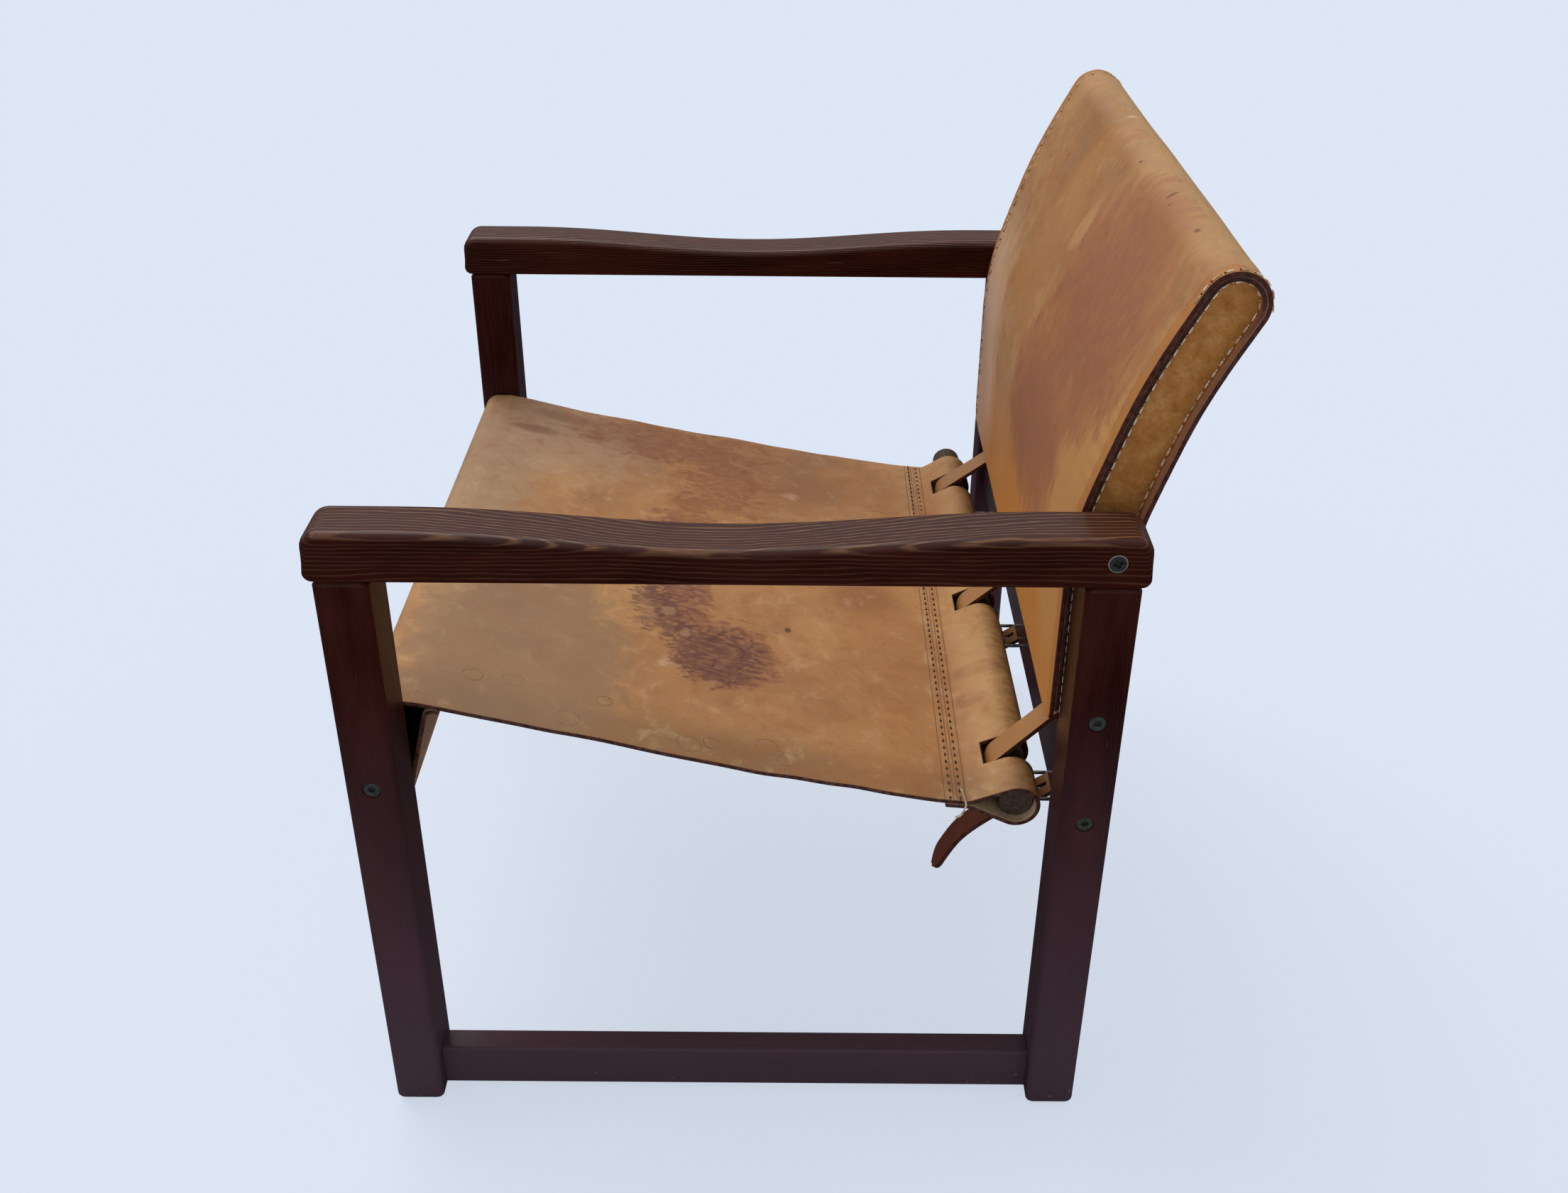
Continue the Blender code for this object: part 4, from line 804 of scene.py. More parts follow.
def arm_shape(side):
    """Armrest with rounded edges: its side view at stations across it."""
    rings = []
    for end in (1, -1):
        for step in range(ROUND_STEPS + 1):
            angle = QUARTER * (step if end > 0 else ROUND_STEPS - step) / ROUND_STEPS
            inset = ARM_EDGE_RADIUS * (1 - math.sin(angle))
            from_side = ARM_EDGE_RADIUS * (1 - math.cos(angle))
            level = max(0, ARM_LOW_EDGE_RADIUS - from_side)
            low_inset = ARM_LOW_EDGE_RADIUS - math.sqrt(ARM_LOW_EDGE_RADIUS**2 - level**2)
            x = side * SIDE_X + end * (LEG_WIDTH / 2 - from_side)
            rings.append([(x, y, z) for y, z in arm_outline(inset, low_inset)])
    return loft(rings)


def leg_shape(side, y):
    half_x, half_y = LEG_WIDTH / 2, LEG_DEPTH / 2
    rings = []
    for step in range(ROUND_STEPS + 1):
        angle = QUARTER * step / ROUND_STEPS
        rings.append((FOOT_RADIUS * (1 - math.cos(angle)), FOOT_RADIUS * (1 - math.sin(angle))))
    rings += [(LEG_HEIGHT - SHOULDER_CHAMFER, 0), (LEG_HEIGHT, SHOULDER_CHAMFER)]
    edge = [LEG_EDGE_RADIUS] * 4
    rings = [(z, rounded_rectangle(half_x - inset, half_y - inset, edge)) for z, inset in rings]
    return loft(along_z(rings, side * SIDE_X, y))


def head_pocket(side, y, z, head_radius, head_height, sunk):
    """Shape that opens a leg or an armrest for a screw's head."""
    seat = OUTER_X - sunk - head_height - GAP
    ring = round_ring(head_radius + GAP)
    return loft(along_x([(side * seat, ring), (side * (OUTER_X + POCKET_OVERRUN), ring)], y, z))


def make_side_frames(woods):
    bar = rounded_rectangle(STRETCHER_WIDTH / 2, STRETCHER_HEIGHT / 2, [STRETCHER_EDGE_RADIUS] * 4)
    face = LEG_Y - LEG_DEPTH / 2 - GAP
    for word, side in SIDES:
        pocket = head_pocket(side, LEG_Y, PIVOT_Z, PIVOT_HEAD_RADIUS, PIVOT_HEAD_HEIGHT, PIVOT_SUNK)
        solid_piece("lacquered_armrest_" + word, arm_shape(side), woods["armrest"], "chair_frame",
                    "stained_wood", "armrest_" + word, tools=[pocket])
        for end, leg_y in (("front", -LEG_Y), ("rear", LEG_Y)):
            pockets = [
                head_pocket(side, y, bottom + height / 2, BOLT_HEAD_RADIUS, BOLT_HEAD_HEIGHT, BOLT_SUNK)
                for _, y, bottom, height, _, _ in RAILS if y == leg_y
            ]
            solid_piece(f"lacquered_{end}_leg_{word}", leg_shape(side, leg_y), woods["leg"], "chair_frame",
                        "stained_wood", f"{end}_leg_{word}", tools=pockets)
        middle_z = STRETCHER_LIFT + STRETCHER_HEIGHT / 2
        rings = along_y([(-face, bar), (0, bar), (face, bar)], side * SIDE_X, middle_z)
        solid_piece("lacquered_stretcher_" + word, loft(rings), woods["stretcher"], "chair_frame",
                    "stained_wood", "bottom_stretcher_" + word)


def make_rails(wood):
    end = CLEAR_WIDTH / 2 - GAP
    for name, y, bottom, height, top, low in RAILS:
        section = rounded_rectangle(RAIL_THICKNESS / 2, height / 2, [top, top, low, low], RAIL_ROUND_STEPS)
        shape = loft(along_x([(-end, section), (end, section)], y, bottom + height / 2))
        solid_piece("lacquered_" + name, shape, wood, "chair_frame", "stained_wood", name)


def screw_shape(rings, side, y, z, turn):
    """Screw along X that points inwards, driven round by turn."""
    return loft(along_x([(side * x, turned(ring, turn)) for x, ring in rings], y, z))


def make_bolts(steel_finish):
    top = OUTER_X - BOLT_SUNK
    seat = top - BOLT_HEAD_HEIGHT
    tip = CLEAR_WIDTH / 2 - BOLT_REACH
    rings = [
        (tip, round_ring(BOLT_SHANK_RADIUS - BOLT_EDGE)),
        (tip + BOLT_EDGE, round_ring(BOLT_SHANK_RADIUS)),
        (seat, round_ring(BOLT_SHANK_RADIUS)),
        (seat, round_ring(BOLT_HEAD_RADIUS)),
        (top - BOLT_EDGE, round_ring(BOLT_HEAD_RADIUS)),
        (top - BOLT_EDGE * 0.3, round_ring(BOLT_HEAD_RADIUS - BOLT_EDGE * 0.3)),
        (top, round_ring(BOLT_HEAD_RADIUS - BOLT_EDGE)),
        (top, hexagon_ring(BOLT_SOCKET_ACROSS + SOCKET_CHAMFER)),
        (top - SOCKET_CHAMFER / 2, hexagon_ring(BOLT_SOCKET_ACROSS)),
        (top - BOLT_SOCKET_DEPTH, hexagon_ring(BOLT_SOCKET_ACROSS)),
    ]
    for name, y, bottom, height, _, _ in RAILS:
        z = bottom + height / 2
        for number, (word, side) in enumerate(SIDES):
            shape = screw_shape(rings, side, y, z, 0.4 + 1.3 * number + z * 40)
            solid_piece(f"blackened_{name}_bolt_{word}", shape, steel_finish, "chair_frame",
                        "dark_steel", f"{name}_bolt_{word}", sharp=SCREW_SHARP)


def make_pivots(steel_finish):
    top = OUTER_X - PIVOT_SUNK
    seat = top - PIVOT_HEAD_HEIGHT
    tip = UPRIGHT_X - PIVOT_REACH
    recess = cross_ring(PIVOT_CROSS_LENGTH, PIVOT_CROSS_WIDTH)
    rings = [
        (tip, round_ring(PIVOT_SHANK_RADIUS - PIVOT_EDGE)),
        (tip + PIVOT_EDGE, round_ring(PIVOT_SHANK_RADIUS)),
        (seat, round_ring(PIVOT_SHANK_RADIUS)),
        (seat, round_ring(PIVOT_HEAD_RADIUS)),
        (top - PIVOT_EDGE, round_ring(PIVOT_HEAD_RADIUS)),
        (top - PIVOT_EDGE * 0.25, round_ring(PIVOT_HEAD_RADIUS - PIVOT_EDGE * 0.4)),
        (top, round_ring(PIVOT_HEAD_RADIUS - PIVOT_EDGE * 1.3)),
        (top, recess),
        (top - PIVOT_CROSS_DEPTH, recess),
    ]
    for word, side in SIDES:
        solid_piece("worn_pivot_screw_" + word, screw_shape(rings, side, LEG_Y, PIVOT_Z, 0.35), steel_finish,
                    "tilting_back", "dark_steel", "pivot_screw_" + word, sharp=SCREW_SHARP)


def make_seat(materials):
    """Sling: wrapped round the front rail, hemmed round the dowel, slotted for the straps."""
    half = SLOT_WIDTH / 2
    slots = [x for _, x in reversed(STRAPS)]
    edges = [-SEAT_WIDTH / 2] + [x + side * half for x in slots for side in (-1, 1)] + [SEAT_WIDTH / 2]
    places = [x for (x,) in finely([(x,) for x in edges])]
    middle, first, last = seat_profile(0)
    cuts = cut_counts(middle, SHEET_STEP)
    runs = lengths_along(divided(middle, cuts))
    columns = []
    for x in places:
        edge = max(0, abs(x) - WAVY_EDGE_START) / WAVY_EDGE_BAND
        column = []
        for (y, z), run in zip(divided(seat_profile(x)[0], cuts), runs):
            slack = max(0, min(1, (y - SLACK_START) / SLACK_RISE, (SLACK_END - y) / SLACK_FALL))
            ripple = noise.noise((x * 9, y * 9, 4.7)) + 0.5 * noise.noise((x * 24, y * 24, 1.3))
            z += slack * (SEAT_RIPPLE * ripple + SEAT_EDGE_WAVE * edge * noise.noise((y * 26, x * 3, 8.1)))
            column.append((x + SEAT_EDGE_WANDER * edge * noise.noise((run * 22, 0.5, x * 2)), y, z))
        columns.append(column)
    in_slot = [j for j, x in enumerate(places) if any(-half - 1e-6 < x - slot < half - 1e-6 for slot in slots)]
    holes = {(j, i) for j in in_slot for i in range(sum(cuts[:first]), sum(cuts[:last]))}
    seat = sheet_piece("saddle_leather_seat", columns, LEATHER, materials, runs, holes)
    place(seat, "chair_frame", "saddle_leather", "seat_leather")


def make_dowel(wood):
    start = -SEAT_WIDTH / 2 - DOWEL_OUT_RIGHT
    end = SEAT_WIDTH / 2 - DOWEL_IN_LEFT
    rings = []
    for k in range(DOWEL_STEPS + 1):
        x = start + (end - start) * k / DOWEL_STEPS
        y, z = dowel_centre(x)
        radius = DOWEL_RADIUS - (DOWEL_CHAMFER if k in (0, DOWEL_STEPS) else 0)
        ring = []
        for a, b in round_ring(radius, DOWEL_ROUND_STEPS):
            rough = 1 - DOWEL_ROUGH_SHARE * (0.5 + 0.5 * noise.noise((x * 14, a * 90, b * 90)))
            ring.append((x, y + a * rough, z + b * rough))
        rings.append(ring)
    for position, x in ((1, start + DOWEL_SHOULDER), (len(rings), end - DOWEL_SHOULDER)):
        y, z = dowel_centre(x)
        shoulder = round_ring(DOWEL_RADIUS - DOWEL_SHOULDER_SUNK, DOWEL_ROUND_STEPS)
        rings.insert(position, [(x, y + a, z + b) for a, b in shoulder])
    solid_piece("weathered_dowel", loft(rings), wood, "chair_frame", "dowel_wood", "seat_dowel", sharp=40)


def make_straps(materials):
    half, hole = STRAP_WIDTH / 2, PRONG_HOLE_WIDTH / 2
    offsets = [hole] + [half * share for share in STRAP_RIB_SHARES]
    offsets = [-offset for offset in reversed(offsets)] + offsets
    for word, x in STRAPS:
        profile, openings = strap_profile(x)
        cuts = cut_counts(profile, STRAP_STEP)
        runs = lengths_along(divided(profile, cuts))
        columns = []
        for offset in offsets:
            column = []
            for (y, z), run in zip(divided(strap_profile(x + offset)[0], cuts), runs):
                left_over = runs[-1] - run
                width = 1.0
                if left_over < TAIL_TIP:
                    width = 0.15 + 0.85 * math.sin(QUARTER * left_over / TAIL_TIP) ** 0.8
                hang = max(0, 1 - left_over / STRAP_CUP_LENGTH)
                cup = STRAP_CUP * hang * (offset / half) ** 2
                column.append((x + offset * width, y - cup, z - cup))
            columns.append(column)
        middle = len(offsets) // 2 - 1
        holes = {(middle, i) for start, end in openings for i in range(sum(cuts[:start]), sum(cuts[:end]))}
        strap = sheet_piece("buckled_strap_" + word, columns, STRAP_THICKNESS, materials, runs, holes, offsets)
        place(strap, "chair_frame", "strap_leather", "strap_" + word)


def make_buckles(steel_finish):
    (front_y, z), (rear_y, _) = buckle_bars()
    outline = rounded_rectangle(BUCKLE_WIDTH / 2, BUCKLE_LENGTH / 2, [BUCKLE_CORNER] * 4, 8)
    ring = BUCKLE_WIRE_RADIUS + GAP + PRONG_RADIUS
    curl_start, curl_end, curl_step = PRONG_CURL
    turns = [math.radians(a) for a in range(curl_start, curl_end + 1, curl_step)]
    prong = [(front_y + ring * math.sin(a), z - ring * math.cos(a)) for a in turns]
    prong += [(rear_y - BUCKLE_WIRE_RADIUS, z - ring), (rear_y + PRONG_PAST_BAR, z - ring + GAP)]
    for word, x in STRAPS:
        path = [(x + a, (front_y + rear_y) / 2 + b, z) for a, b in outline]
        solid_piece("polished_buckle_frame_" + word, wire(path, BUCKLE_WIRE_RADIUS, closed=True), steel_finish,
                    "chair_frame", "bright_steel", "buckle_frame_" + word)
        path = [(x, y, height) for y, height in prong]
        solid_piece("polished_buckle_prong_" + word, wire(path, PRONG_RADIUS), steel_finish,
                    "chair_frame", "bright_steel", "buckle_prong_" + word)


def make_hood(materials):
    """Sheet folded over the back's top: drawn in at its lower corners, and puckered along its seams."""
    line = finely(back_arch(BACK_HALF - LEATHER / 2, FRONT_HEM_HEIGHT, REAR_HEM_HEIGHT))
    runs = lengths_along(line)
    half = HOOD_WIDTH / 2
    count = round(HOOD_WIDTH / SHEET_STEP)
    columns = []
    for j in range(count + 1):
        share = 2 * j / count - 1
        edge = max(0, abs(share) - HOOD_EDGE_START_SHARE) / (1 - HOOD_EDGE_START_SHARE)
        column = []
        for i, ((y, z), run) in enumerate(zip(line, runs)):
            to_corner = HEM_CORNER - min(run, runs[-1] - run, HEM_CORNER)
            narrow = HEM_CORNER - math.sqrt(HEM_CORNER**2 - to_corner**2)
            x = share * (half - narrow)
            out_y, out_z = outward(line, i)
            push = HOOD_RIPPLE * (1 - edge) * noise.noise((x * 8, run * 7, 2.2))
            sway = 4 * noise.noise((run * 20, 0, share))
            push += HOOD_PUCKER * edge * (1 - edge) * 4 * math.sin(run * 430 + sway)
            push -= HOOD_EDGE_SUNK * max(0, edge - 0.5)
            column.append((x, y + out_y * push, z + out_z * push))
        columns.append(column)
    hood = sheet_piece("saddle_leather_hood", columns, LEATHER, materials, runs)
    place(hood, "tilting_back", "saddle_leather", "back_hood")


def gusset_outline(half, bottom):
    """Outline of a gusset's panel, of which only the two long straight feet are cut finer."""
    outline = back_arch(half, bottom, bottom)
    counts = [1] * (len(outline) - 1)
    counts[0] = counts[-1] = GUSSET_FOOT_CUTS
    return divided(outline, counts)


def make_gussets(materials, panel_material):
    """Suede sides: a flange sewn inside the hood's edge, and a panel that runs into it in a soft bend."""
    reach = BACK_HALF - LEATHER - GAP - GUSSET_THICKNESS / 2
    line = finely(back_arch(reach, FRONT_HEM_HEIGHT + HEM_CORNER, REAR_HEM_HEIGHT + HEM_CORNER))
    runs = lengths_along(line)
    inner, outer = GUSSET_X - GUSSET_THICKNESS, HOOD_WIDTH / 2 - GUSSET_BITE
    flange_places = [inner + (outer - inner) * k / FLANGE_COLUMNS for k in range(FLANGE_COLUMNS + 1)]
    face = reach - GUSSET_THICKNESS / 2
    bottom = REAR_HEM_HEIGHT + GUSSET_PANEL_LIFT
    bends = [QUARTER * k / GUSSET_BEND_STEPS for k in range(GUSSET_BEND_STEPS + 1)]
    section = [(GUSSET_BEND * (1 - math.sin(a)), GUSSET_BEND * (1 - math.cos(a))) for a in bends]
    section += [(0, inset) for inset in (*GUSSET_INNER_INSETS, face - GUSSET_CENTRE_HALF)]
    stations = [(inner, 0)]
    for rise, inset in section:
        dish = GUSSET_DISH * min(1, inset / GUSSET_DISH_WIDTH) ** 1.5
        stations.append((GUSSET_X + rise - dish, inset))
    stations = [(x, gusset_outline(face + GUSSET_BITE - inset, bottom + inset)) for x, inset in stations]
    for word, side in SIDES:
        columns = [[(side * x, y, z) for y, z in line] for x in flange_places]
        flange = sheet_piece("gusset_flange_" + word, columns[::side], GUSSET_THICKNESS, materials, runs)
        rings = [[(side * x, y, z) for y, z in outline] for x, outline in stations]
        panel = new_object("gusset_panel_" + word, *loft(rings))
        clean_mesh(panel)
        panel.data.materials.append(panel_material)
        panel.data.shade_smooth()
        gusset = join_objects("suede_gusset_" + word, [flange, panel])
        place(gusset, "tilting_back", "suede", "back_gusset_" + word)


# Nodes

def add(tree, kind, *values, out=0, stops=None, **named):
    """Adds a node and gives back one of its outputs.

    The values feed its first inputs in their order. A named value feeds the input of that name, with _ for
    a space, and where the name starts with a small letter it is a setting of the node itself.
    """
    node = tree.nodes.new(kind if "Node" in kind else "ShaderNode" + kind)
    inputs = dict(enumerate(values))
    for key, value in named.items():
        if key[0].islower():
            setattr(node, key, value)
        else:
            inputs[key.replace("_", " ")] = value
    for key, value in inputs.items():
        if isinstance(value, bpy.types.NodeSocket):
            tree.links.new(value, node.inputs[key])
        else:
            node.inputs[key].default_value = value
    if stops:
        ramp = node.color_ramp
        while len(ramp.elements) < len(stops):
            ramp.elements.new(0.5)
        for element, (position, colour) in zip(ramp.elements, stops):
            element.position = position
            element.color = linear(colour)
    return node.outputs[out] if node.outputs else node


def new_material(name, look, *values):
    """Material whose nodes are laid by its look, a function that gives back the surface's shader."""
    material = bpy.data.materials.new(name)
    material.use_nodes = True
    tree = material.node_tree
    tree.nodes.clear()
    add(tree, "OutputMaterial", look(tree, *values))
    return material


def finished(tree, colour, roughness, relief=None, **finish):
    """Surface of that colour; its relief is a bump's strength, its depth in metres and the height behind it."""
    if relief:
        strength, depth, height = relief
        finish["Normal"] = add(tree, "Bump", Strength=strength, Distance=depth, Height=height)
    return add(tree, "BsdfPrincipled", colour, Roughness=roughness, **finish)


def per_mm(size):
    """Noise scale whose features are about this many millimetres wide, on coordinates in metres."""
    return 1000 / size


def clouded(tree, place_vector, size, stops, **settings):
    """Noise with features of that many millimetres, and the colour that it picks between the stops."""
    cloud = add(tree, "TexNoise", place_vector, Scale=per_mm(size), **settings)
    return cloud, add(tree, "ValToRGB", cloud, stops=stops)


def shaded(tree, colour, cloud, darkest, lightest, low=0.3, high=0.7):
    """Colour made darker and lighter by a noise."""
    shade = add(tree, "MapRange", cloud, low, high, darkest, lightest)
    return add(tree, "VectorMath", colour, Scale=shade, operation="SCALE")


def over(tree, colour, mask, tint, amount):
    """Colour with a tint laid over it where the mask is 1."""
    factor = add(tree, "Math", mask, amount, operation="MULTIPLY", use_clamp=True)
    return add(tree, "MixRGB", factor, colour, linear(tint))


def flat_length(tree, vector, axes=(1, 1, 0)):
    """Length of a vector along the axes that are 1."""
    flat = add(tree, "VectorMath", vector, axes, operation="MULTIPLY")
    return add(tree, "VectorMath", flat, out="Value", operation="LENGTH")


def thin_line(tree, value, level, outer, inner):
    """Mask of a line where the value is at the level: 1 within inner of it, and 0 beyond outer."""
    away = add(tree, "Math", value, level, operation="SUBTRACT")
    away = add(tree, "Math", away, operation="ABSOLUTE")
    return add(tree, "MapRange", away, outer, inner)


def ellipse_reach(tree, surface, centre, size, turn):
    """Distance from an ellipse's middle, 1 on its rim."""
    local = add(tree, "Mapping", surface, Location=(*centre, 0), Rotation=(0, 0, math.radians(turn)),
                Scale=(*size, 1), vector_type="TEXTURE")
    return flat_length(tree, local)


def torn_mask(tree, value, rough, ragged, level, soft):
    """1 where the value, torn by the rough noise, is past the level; a minus in soft turns that round."""
    torn = add(tree, "Math", rough, ragged, value, operation="MULTIPLY_ADD")
    edge = level + ragged * 0.5
    return add(tree, "MapRange", torn, edge - soft, edge + soft, interpolation_type="SMOOTHSTEP")


def patch(tree, surface, rough, centre, size, turn, ragged, soft):
    """Mask of one mark on the surface: an ellipse with a torn edge, 1 inside."""
    return torn_mask(tree, ellipse_reach(tree, surface, centre, size, turn), rough, ragged, 1, -soft)


def stain(tree, surface, ellipses, rough, depth, ragged, soft):
    """Mask of a few ellipses that run together: 1 deeper inside than depth, with a torn edge."""
    inside = None
    for centre, size, turn in ellipses:
        deep = add(tree, "Math", 1.0, ellipse_reach(tree, surface, centre, size, turn), operation="SUBTRACT")
        if inside:
            deep = add(tree, "Math", inside, deep, 0.15, operation="SMOOTH_MAX")
        inside = deep
    return torn_mask(tree, inside, rough, ragged, depth, soft)


def with_marks(tree, colour, surface, rough, marks):
    """Colour with single marks over it."""
    for centre, size, turn, ragged, soft, tint, strength in marks:
        mask = patch(tree, surface, rough, centre, size, turn, ragged, soft)
        colour = over(tree, colour, mask, tint, strength)
    return colour


def with_stains(tree, colour, surface, thin, stains):
    """Colour with stains over it, worn away where thin is low."""
    for ellipses, rough, depth, ragged, soft, tint, strength in stains:
        mask = stain(tree, surface, ellipses, rough, depth, ragged, soft)
        mask = add(tree, "Math", mask, thin, operation="MULTIPLY")
        colour = over(tree, colour, mask, tint, strength)
    return colour


# Materials

def hide_texture(tree, surface, solid):
    """Vegetable tanned cowhide, worn by hand: clouds of tan, mottles, pores, fine veins and scratches.

    Gives its colour, a height for the relief, and the mottles.
    """
    tans = ((0.30, "#9E7048"), (0.50, "#B07E4E"), (0.70, "#BF8F5A"))
    _, colour = clouded(tree, solid, 95, tans, Detail=5, Roughness=0.55, Distortion=0.4)
    mottle = add(tree, "TexNoise", solid, Scale=per_mm(16), Detail=6, Roughness=0.65, Distortion=0.7)
    colour = shaded(tree, colour, mottle, 0.93, 1.06)
    pores = add(tree, "TexVoronoi", solid, Scale=per_mm(1.3), out="Distance")
    colour = shaded(tree, colour, pores, 0.93, 1.01, low=0.0, high=0.45)
    veins = add(tree, "TexNoise", solid, Scale=per_mm(38), Detail=3, Roughness=0.6, Distortion=1.2)
    veined_areas = add(tree, "MapRange", add(tree, "TexNoise", solid, Scale=per_mm(130)), 0.52, 0.62)
    vein = thin_line(tree, veins, 0.53, 0.007, 0.002)
    vein = add(tree, "Math", vein, veined_areas, operation="MULTIPLY")
    colour = over(tree, colour, vein, "#6E4428", 0.55)
    drawn_out = add(tree, "Mapping", surface, Rotation=(0, 0, 0.5), Scale=(1.0, 0.035, 1.0))
    scratch = add(tree, "TexNoise", drawn_out, Scale=per_mm(1.6))
    colour = over(tree, colour, add(tree, "MapRange", scratch, 0.70, 0.78), "#D9B080", 0.35)
    fine = add(tree, "TexNoise", solid, Scale=per_mm(2.2), Detail=4, Roughness=0.6)
    height = add(tree, "Math", pores, 0.25, fine, operation="MULTIPLY_ADD")
    height = add(tree, "Math", vein, -0.5, height, operation="MULTIPLY_ADD")
    return colour, height, mottle


def seat_leather(tree):
    """Saddle leather that years of sitting have darkened, wetted and rubbed: satin, with tide marks."""
    solid = add(tree, "TexCoord", out="Object")
    moved = add(tree, "VectorMath", solid, (0, -SHIFT, 0), operation="ADD")
    colour, height, mottle = hide_texture(tree, moved, moved)
    streaky = add(tree, "Mapping", moved, Rotation=(0, 0, 0.15), Scale=(1.0, 0.38, 1.0))
    ragged = add(tree, "TexNoise", streaky, Scale=per_mm(13), Detail=8, Roughness=0.74, Distortion=0.5)
    wiped = add(tree, "TexNoise", streaky, Scale=per_mm(5), Detail=6, Roughness=0.7, Distortion=0.3)
    blotchy = add(tree, "TexNoise", moved, Scale=per_mm(24), Detail=7, Roughness=0.7, Distortion=0.5)
    # The first of these marks is painted sheen on the seat's front
    colour = with_marks(tree, colour, moved, blotchy, SEAT_MARKS)
    for low, high, tint, strength in ((0.52, 0.66, "#96592F", 0.40), (0.46, 0.34, "#CBA57A", 0.40)):
        colour = over(tree, colour, add(tree, "MapRange", blotchy, low, high), tint, strength)
    # Painted sheen: the seat's front made greyer and lighter
    front_sheen = stain(tree, moved, SEAT_FRONT_SHEEN, blotchy, 0.0, 1.2, 0.25)
    colour = over(tree, colour, front_sheen, "#8E7256", 0.62)
    thin = add(tree, "MapRange", wiped, 0.36, 0.58, 0.2, 1.0)
    colour = with_stains(tree, colour, moved, thin, (
        (FAR_STAIN, ragged, 0.02, 1.6, 0.03, "#A0683F", 0.62),
        (FAR_STAIN, blotchy, 0.25, 2.8, 0.10, "#8C5536", 0.60),
        (DARK_STAIN, ragged, 0.02, 1.3, 0.04, "#8E5A40", 0.82),
        (DARK_STAIN, blotchy, 0.20, 2.2, 0.12, "#764838", 0.65),
        (DARKEST_STREAKS, wiped, 0.05, 2.6, 0.10, "#5E3830", 0.65),
    ))
    creased = add(tree, "TexVoronoi", streaky, Scale=per_mm(14), out="Distance", feature="DISTANCE_TO_EDGE")
    crossing = add(tree, "MapRange", creased, 0.05, 0.01)
    dark_creases = (DARK_STAIN, ragged, 0.15, 1.3, 0.10, "#4E2C28", 0.50)
    colour = with_stains(tree, colour, moved, crossing, (dark_creases,))
    colour = with_marks(tree, colour, moved, blotchy, SEAT_PALE_SPOTS)
    chance = random.Random(4)
    worn = add(tree, "MapRange", mottle, 0.40, 0.56)
    for k in range(RING_COUNT):
        x = RING_ROW_X + chance.uniform(-0.035, 0.012)
        y = RING_ROW_START + RING_ROW_STEP * k + chance.uniform(-0.01, 0.01)
        radius = chance.uniform(0.005, 0.010)
        away = flat_length(tree, add(tree, "VectorMath", moved, (x, y, 0), operation="SUBTRACT"))
        away = add(tree, "Math", blotchy, 0.012, away, operation="MULTIPLY_ADD")
        ring = thin_line(tree, away, radius + 0.006, 0.0007, 0.0002)
        ring = add(tree, "Math", ring, worn, operation="MULTIPLY")
        colour = over(tree, colour, ring, "#664228", 0.6)
    along = add(tree, "SeparateXYZ", moved, out="Y")
    for crease_y in SEAT_CREASES:
        crease = thin_line(tree, along, crease_y, 0.0006, 0.0001)
        colour = over(tree, colour, crease, "#6E4428", 0.75)
        height = add(tree, "Math", crease, -1.2, height, operation="MULTIPLY_ADD")
    # Darker, speckled rear of the roll round the dowel: grime and painted shade
    behind = add(tree, "MapRange", along, 0.200, 0.236)
    speckled = add(tree, "MapRange", wiped, 0.42, 0.62, 0.15, 1.0)
    grime_and_shade = add(tree, "Math", behind, speckled, operation="MULTIPLY")
    colour = over(tree, colour, grime_and_shade, "#4E3420", 0.85)
    rough = add(tree, "MapRange", mottle, 0.3, 0.7, 0.46, 0.62)
    return finished(tree, colour, rough, (0.35, 0.0004, height), Specular_IOR_Level=0.22)


